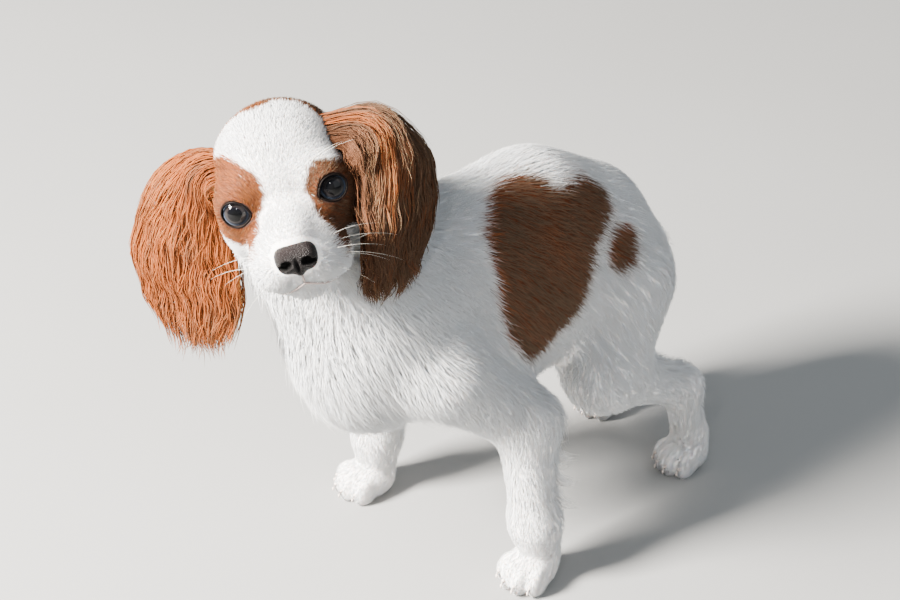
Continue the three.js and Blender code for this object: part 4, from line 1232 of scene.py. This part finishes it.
def eye_material():
    finish = dict(Roughness=0.25, Specular_IOR_Level=0.0, Coat_Weight=0.32, Coat_Roughness=0.02)
    m, tree, principled = shader("eye", **finish)
    off = attribute(tree, "off")
    rings = ramp(tree, off, [
        (0.0, (0.002, 0.002, 0.002)), (0.125, (0.002, 0.002, 0.003)), (0.145, (0.010, 0.008, 0.008)),
        (0.19, (0.013, 0.011, 0.011)), (0.215, (0.012, 0.013, 0.018)), (0.235, (0.030, 0.038, 0.055)),
        (0.255, (0.026, 0.029, 0.037)), (0.28, (0.012, 0.010, 0.010)), (0.36, (0.008, 0.006, 0.005)),
    ])
    # The ring round the iris is pale and bluish on the lower side only: partly the white of the eye, partly
    # painted reflection.
    low = ramp(tree, attribute(tree, "below"), [(0.3, grey(0.0)), (0.75, grey(1.0))])
    rings_and_lower_reflection = mixed(tree, low, rings, ramp(tree, off, [
        (0.0, (0.002, 0.002, 0.002)), (0.125, (0.003, 0.003, 0.003)), (0.15, (0.018, 0.016, 0.016)),
        (0.195, (0.020, 0.020, 0.024)), (0.215, (0.024, 0.030, 0.043)), (0.235, (0.075, 0.095, 0.135)),
        (0.262, (0.10, 0.105, 0.12)), (0.285, (0.02, 0.017, 0.016)), (0.36, (0.008, 0.006, 0.005)),
    ]))
    tree.links.new(rings_and_lower_reflection, principled.inputs["Base Color"])
    return m


def tube(points, radii, sides, closed=False):
    """Points and faces of a tube along a path, with closed ends or as a ring."""
    p = np.asarray(points, float)
    way = unit(np.roll(p, -1, 0) - np.roll(p, 1, 0) if closed else np.gradient(p, axis=0))
    up = np.tile((0.0, 0.0, 1.0), (len(p), 1))
    up[np.abs(way[:, 2]) > 0.9] = (0, 1, 0)
    a = unit(np.cross(way, up))
    b = np.cross(way, a)
    angle = (np.arange(sides) / sides * 2 * math.pi)[None, :, None]
    r = np.broadcast_to(radii, (len(p),))[:, None, None]
    ring = p[:, None] + r * (np.cos(angle) * a[:, None] + np.sin(angle) * b[:, None])
    size = len(p) * sides
    quad = wrapped(len(p) + closed, sides) % size
    faces = [np.stack([quad[:, (0, 1, 2)], quad[:, (0, 2, 3)]], 1).reshape(-1, 3)]
    if not closed:
        j = np.arange(1, sides - 1)
        faces += [np.stack([0 * j, j, j + 1], -1), np.stack([0 * j, j + 1, j], -1) + size - sides]
    return ring.reshape(-1, 3), np.concatenate(faces)[:, ::-1]


LID_POINTS = 64


def lid_ring(side):
    """The dark rim, where the skin meets the opening of the eye."""
    right, up, gaze = eye_axes(side)
    b = np.arange(LID_POINTS) / LID_POINTS * 2 * math.pi
    off = np.cos(b)[:, None] * right * EYE_OPENING[0] + (np.sin(b) * EYE_OPENING[1])[:, None] * up
    off = off * eye_shape(np.arctan2(np.sin(b) * EYE_OPENING[1], np.cos(b) * EYE_OPENING[0]), side)[:, None]
    ahead = np.full(LID_POINTS, 16.0)
    for _ in range(60):
        p = sided(EYE_AT, side) + off + ahead[:, None] * gaze
        ahead -= np.clip(flesh(from_head(p)) + 0.5, 0, 1) * 0.5
    ahead = np.maximum(ahead, np.sqrt(np.maximum(EYE_RADIUS**2 - (off**2).sum(-1), 0)) + 0.4)
    inner = np.exp(-((apart(b, 0 if side > 0 else math.pi) / 0.5) ** 2))
    return tube(sided(EYE_AT, side) + off + ahead[:, None] * gaze, 0.42 + 0.2 * inner, 8, True)


EYE = eye_material()
LIDS = mottled("lids", 700.0, (0.003, 0.002, 0.002), (0.006, 0.004, 0.003), Roughness=0.5,
               Specular_IOR_Level=0.05)
for side, label in ((1, "left"), (-1, "right")):
    eye(side, label).data.materials.append(EYE)
    p, f = lid_ring(side)
    mesh_of("lid_" + label, from_head(p), f).data.materials.append(LIDS)


def carved_nose(p):
    d = nose_form(p)
    for s in (1, -1):
        d = np.maximum(d, -ellipsoid(p, NOSE + (s * 4.9, -6.2, -1.2), (2.3, 3.4, 1.9)))
        d = np.maximum(d, -ellipsoid(p, NOSE + (s * 7.4, -4.6, -2.6), (2.6, 2.6, 0.8)))
    return np.maximum(d, -ellipsoid(p, NOSE + (0, -6.4, -6), (0.5, 2, 6.5)))


def nose_material():
    m, tree, principled = shader("nose_leather", Specular_IOR_Level=0.15)
    hole = attribute(tree, "hole")
    tree.links.new(ramp(tree, hole, [(0, grey(0.45)), (1, grey(1.0))]), principled.inputs["Roughness"])
    pores = tree.nodes.new("ShaderNodeTexVoronoi")
    pores.inputs["Scale"].default_value = 2000.0
    place = tree.nodes.new("ShaderNodeTexCoord")
    tree.links.new(place.outputs["Object"], pores.inputs["Vector"])
    bumped(tree, principled, pores.outputs["Distance"], 0.9, 0.0005)
    # Painted light: the pad is lighter on top.
    pad_lit_on_top = ramp(tree, attribute(tree, "top"), [(0, (0.004, 0.003, 0.003)), (1, (0.009, 0.006, 0.006))])
    # Painted shade: the nostrils are near black.
    tree.links.new(mixed(tree, hole, pad_lit_on_top, (0.001, 0.0008, 0.0007)), principled.inputs["Base Color"])
    return m


NOSE_STEP = 0.55
nose_grid = Sampled(lambda p: carved_nose(p) + 0.6, NOSE - (14, 10, 14), NOSE + (14, 12, 12), NOSE_STEP)
p, f = nose_grid.net()
for _ in range(2):
    value, n = nose_grid.look(p)
    p = p - n * value[:, None] * 0.6
nose = mesh_of("nose_pad", from_head(p), f)
note(nose, "top", smooth(p[:, 2], NOSE[2] - 1, NOSE[2] + 6))
note(nose, "hole", smooth(-nose_form(p), 0.9, 1.8))
nose.data.materials.append(nose_material())
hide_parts("nose")


# Whiskers, hairs over the left eye and under the chin, the line of the lips, darkened as painted shade of the
# mouth's crease, and the claws
def joined(tubes):
    points, faces, start = [], [], 0
    for p, f in tubes:
        points.append(p)
        faces.append(f + start)
        start += len(p)
    return np.vstack(points), np.vstack(faces)


def hair(root, way, length, droop, radius):
    t = np.linspace(0, 1, 9)[:, None]
    way = unit(np.array(way, float))
    p = np.array(root, float) + way * length * t + np.array(droop, float) * length * t**2
    return tube(p, radius * (1 - 0.85 * t[:, 0]), 4)


def rooted(place):
    """A root under the skin, near a place given in the head's own axes."""
    return onto(flesh, from_head(place)[None], -1.2)[0][0]


WHISKERS = (
    ((16, -50, -19), (0.9, 0.3, 0.1), 30), ((17, -48, -23), (0.95, 0.4, -0.1), 34),
    ((17, -50, -27), (0.9, 0.25, -0.25), 30), ((16, -46, -30), (0.85, 0.5, -0.35), 27),
    ((15, -53, -23), (0.9, 0.1, 0.0), 24), ((18, -44, -26), (0.9, 0.6, 0.05), 30),
    ((13, -54, -29), (0.8, -0.05, -0.4), 20),
)
BROW_HAIRS = (
    ((17, -31, 11), (0.35, -0.4, 0.7), 14), ((19, -30, 12), (0.5, -0.35, 0.65), 17),
    ((21, -29, 12), (0.7, -0.3, 0.6), 18),
)
long_hairs = []
for s in (1, -1):
    droop = HEAD_TURN @ sided((0.0, 0.25, -0.1), s) + (0, 0, -0.3)
    for root, way, length in WHISKERS:
        at = rooted(sided(root, s) + rng.normal(0, 0.6, 3))
        if s > 0 or rng.random() < 0.6:
            length = length * rng.uniform(0.8, 1.05)
            long_hairs.append(hair(at, HEAD_TURN @ sided(way, s), length, droop, 0.08))
droop = HEAD_TURN @ (0.35, 0.2, -0.35)
for root, way, length in BROW_HAIRS:
    long_hairs.append(hair(rooted(root), HEAD_TURN @ way, length, droop, 0.06))
for n in range(-3, 4):
    way = HEAD_TURN @ (n * 0.12, -0.35, -1)
    long_hairs.append(hair(rooted((n * 3.0, -50, -43)), way, rng.uniform(7, 12), (0, 0, 0), 0.10))
p, f = joined(long_hairs)
WHISKER = mottled("whisker", 60.0, (0.80, 0.74, 0.62), (0.90, 0.87, 0.80), Roughness=0.4)
mesh_of("whiskers", p, f).data.materials.append(WHISKER)

lip = np.array([(21, -24, -34), (20, -34, -38.5), (15, -46, -41), (8, -54, -40), (0, -57.5, -36.5)], float)
lip = np.vstack([lip, lip[-2::-1] * (-1, 1, 1)])
x = np.linspace(0, len(lip) - 1, 60)
lip = np.stack([np.interp(x, np.arange(len(lip)), lip[:, n]) for n in range(3)], -1)
lip = onto(flesh, from_head(lip), -0.2)[0]
split = np.array([(0, -60, -26), (0, -60, -29), (0, -59, -32), (0, -57.5, -36.5)], float)
split = onto(flesh, from_head(split), -0.2)[0]
p, f = joined([tube(lip, 0.55, 6), tube(split, 0.45, 6)])
# The line of the lips and the groove below the nose carry the lips' own pinkish grey, darkened as painted
# shade of the mouth's crease.
LIPS_AND_CREASE_SHADE = mottled("lips_and_crease_shade", 300.0, (0.26, 0.20, 0.18), (0.42, 0.33, 0.30), Roughness=0.45)
mesh_of("lips_and_crease_shade", p, f).data.materials.append(LIPS_AND_CREASE_SHADE)

claws = []
for legs, (long, wide) in PAWS:
    for leg in legs:
        back_turn = turn("z", leg["turn"])
        for x, y, z in toe_centres(long, wide):
            tip = np.array([(x, y - long * 0.26, 0.3), (x, y - long * 0.38, -0.6), (x, y - long * 0.45, -2.6),
                            (x, y - long * 0.47, -4.4)])
            claws.append(tube(tip @ back_turn.T + leg["paw"], np.array((1.0, 1.0, 0.8, 0.35)), 8))
p, f = joined(claws)
CLAW = mottled("claw", 400.0, (0.55, 0.45, 0.40), (0.72, 0.64, 0.58), Roughness=0.35)
mesh_of("claws", p, f).data.materials.append(CLAW)

# Floor, light and camera
FLOOR = mottled("floor", 3.0, (0.24, 0.24, 0.237), (0.255, 0.255, 0.252), Roughness=0.85)
bpy.ops.mesh.primitive_plane_add(size=8, location=(0, 0, 0))
floor = bpy.context.object
floor.name = "floor"
floor.data.materials.append(FLOOR)

world = bpy.data.worlds.new("studio")
bpy.context.scene.world = world
world.use_nodes = True
world.node_tree.nodes["Background"].inputs["Color"].default_value = (0.80, 0.91, 1.0, 1)
world.node_tree.nodes["Background"].inputs["Strength"].default_value = 0.5


def area(name, at, to, size, power, colour):
    light = bpy.data.lights.new(name, "AREA")
    light.energy, light.size, light.color = power, size, colour
    o = placed(name, light)
    o.location = at
    o.rotation_euler = (Vector(to) - Vector(at)).to_track_quat("-Z", "Y").to_euler()


HEAD_CENTRE_M = tuple((np.array(HEAD_CENTRE) + SHIFT) / 1000)
area("key", (-0.35, -1.45, 1.15), (0.0, 0.0, 0.17), 0.5, 480, (1.0, 0.95, 0.88))
area("fill", (1.5, 0.3, 1.0), (0, 0.05, 0.15), 1.4, 10, (0.90, 0.95, 1.0))
area("catch", (0.58, -0.68, 0.95), HEAD_CENTRE_M, 0.07, 2.4, (1.0, 1.0, 1.0))
area("rim", (-0.6, 1.4, 1.3), (0, 0.05, 0.15), 0.9, 7, (1.0, 0.97, 0.92))

AZIMUTH, ELEVATION, DISTANCE = 52.0, 33.7, 1090
FOCAL, IMAGE_WIDTH, SENSOR_WIDTH = 2100, 900, 36
TARGET = np.array((0, 20, 156))
a, e = math.radians(AZIMUTH), math.radians(ELEVATION)
back = np.array((math.sin(a) * math.cos(e), -math.cos(a) * math.cos(e), math.sin(e)))
camera = placed("camera", bpy.data.cameras.new("camera"))
camera.location = (TARGET + back * DISTANCE + SHIFT) / 1000
camera.rotation_mode = "QUATERNION"
camera.rotation_quaternion = Vector(-back).to_track_quat("-Z", "Y")
camera.data.sensor_width = SENSOR_WIDTH
camera.data.lens = FOCAL / IMAGE_WIDTH * SENSOR_WIDTH
camera.data.clip_start, camera.data.clip_end = 0.05, 20
bpy.context.scene.camera = camera
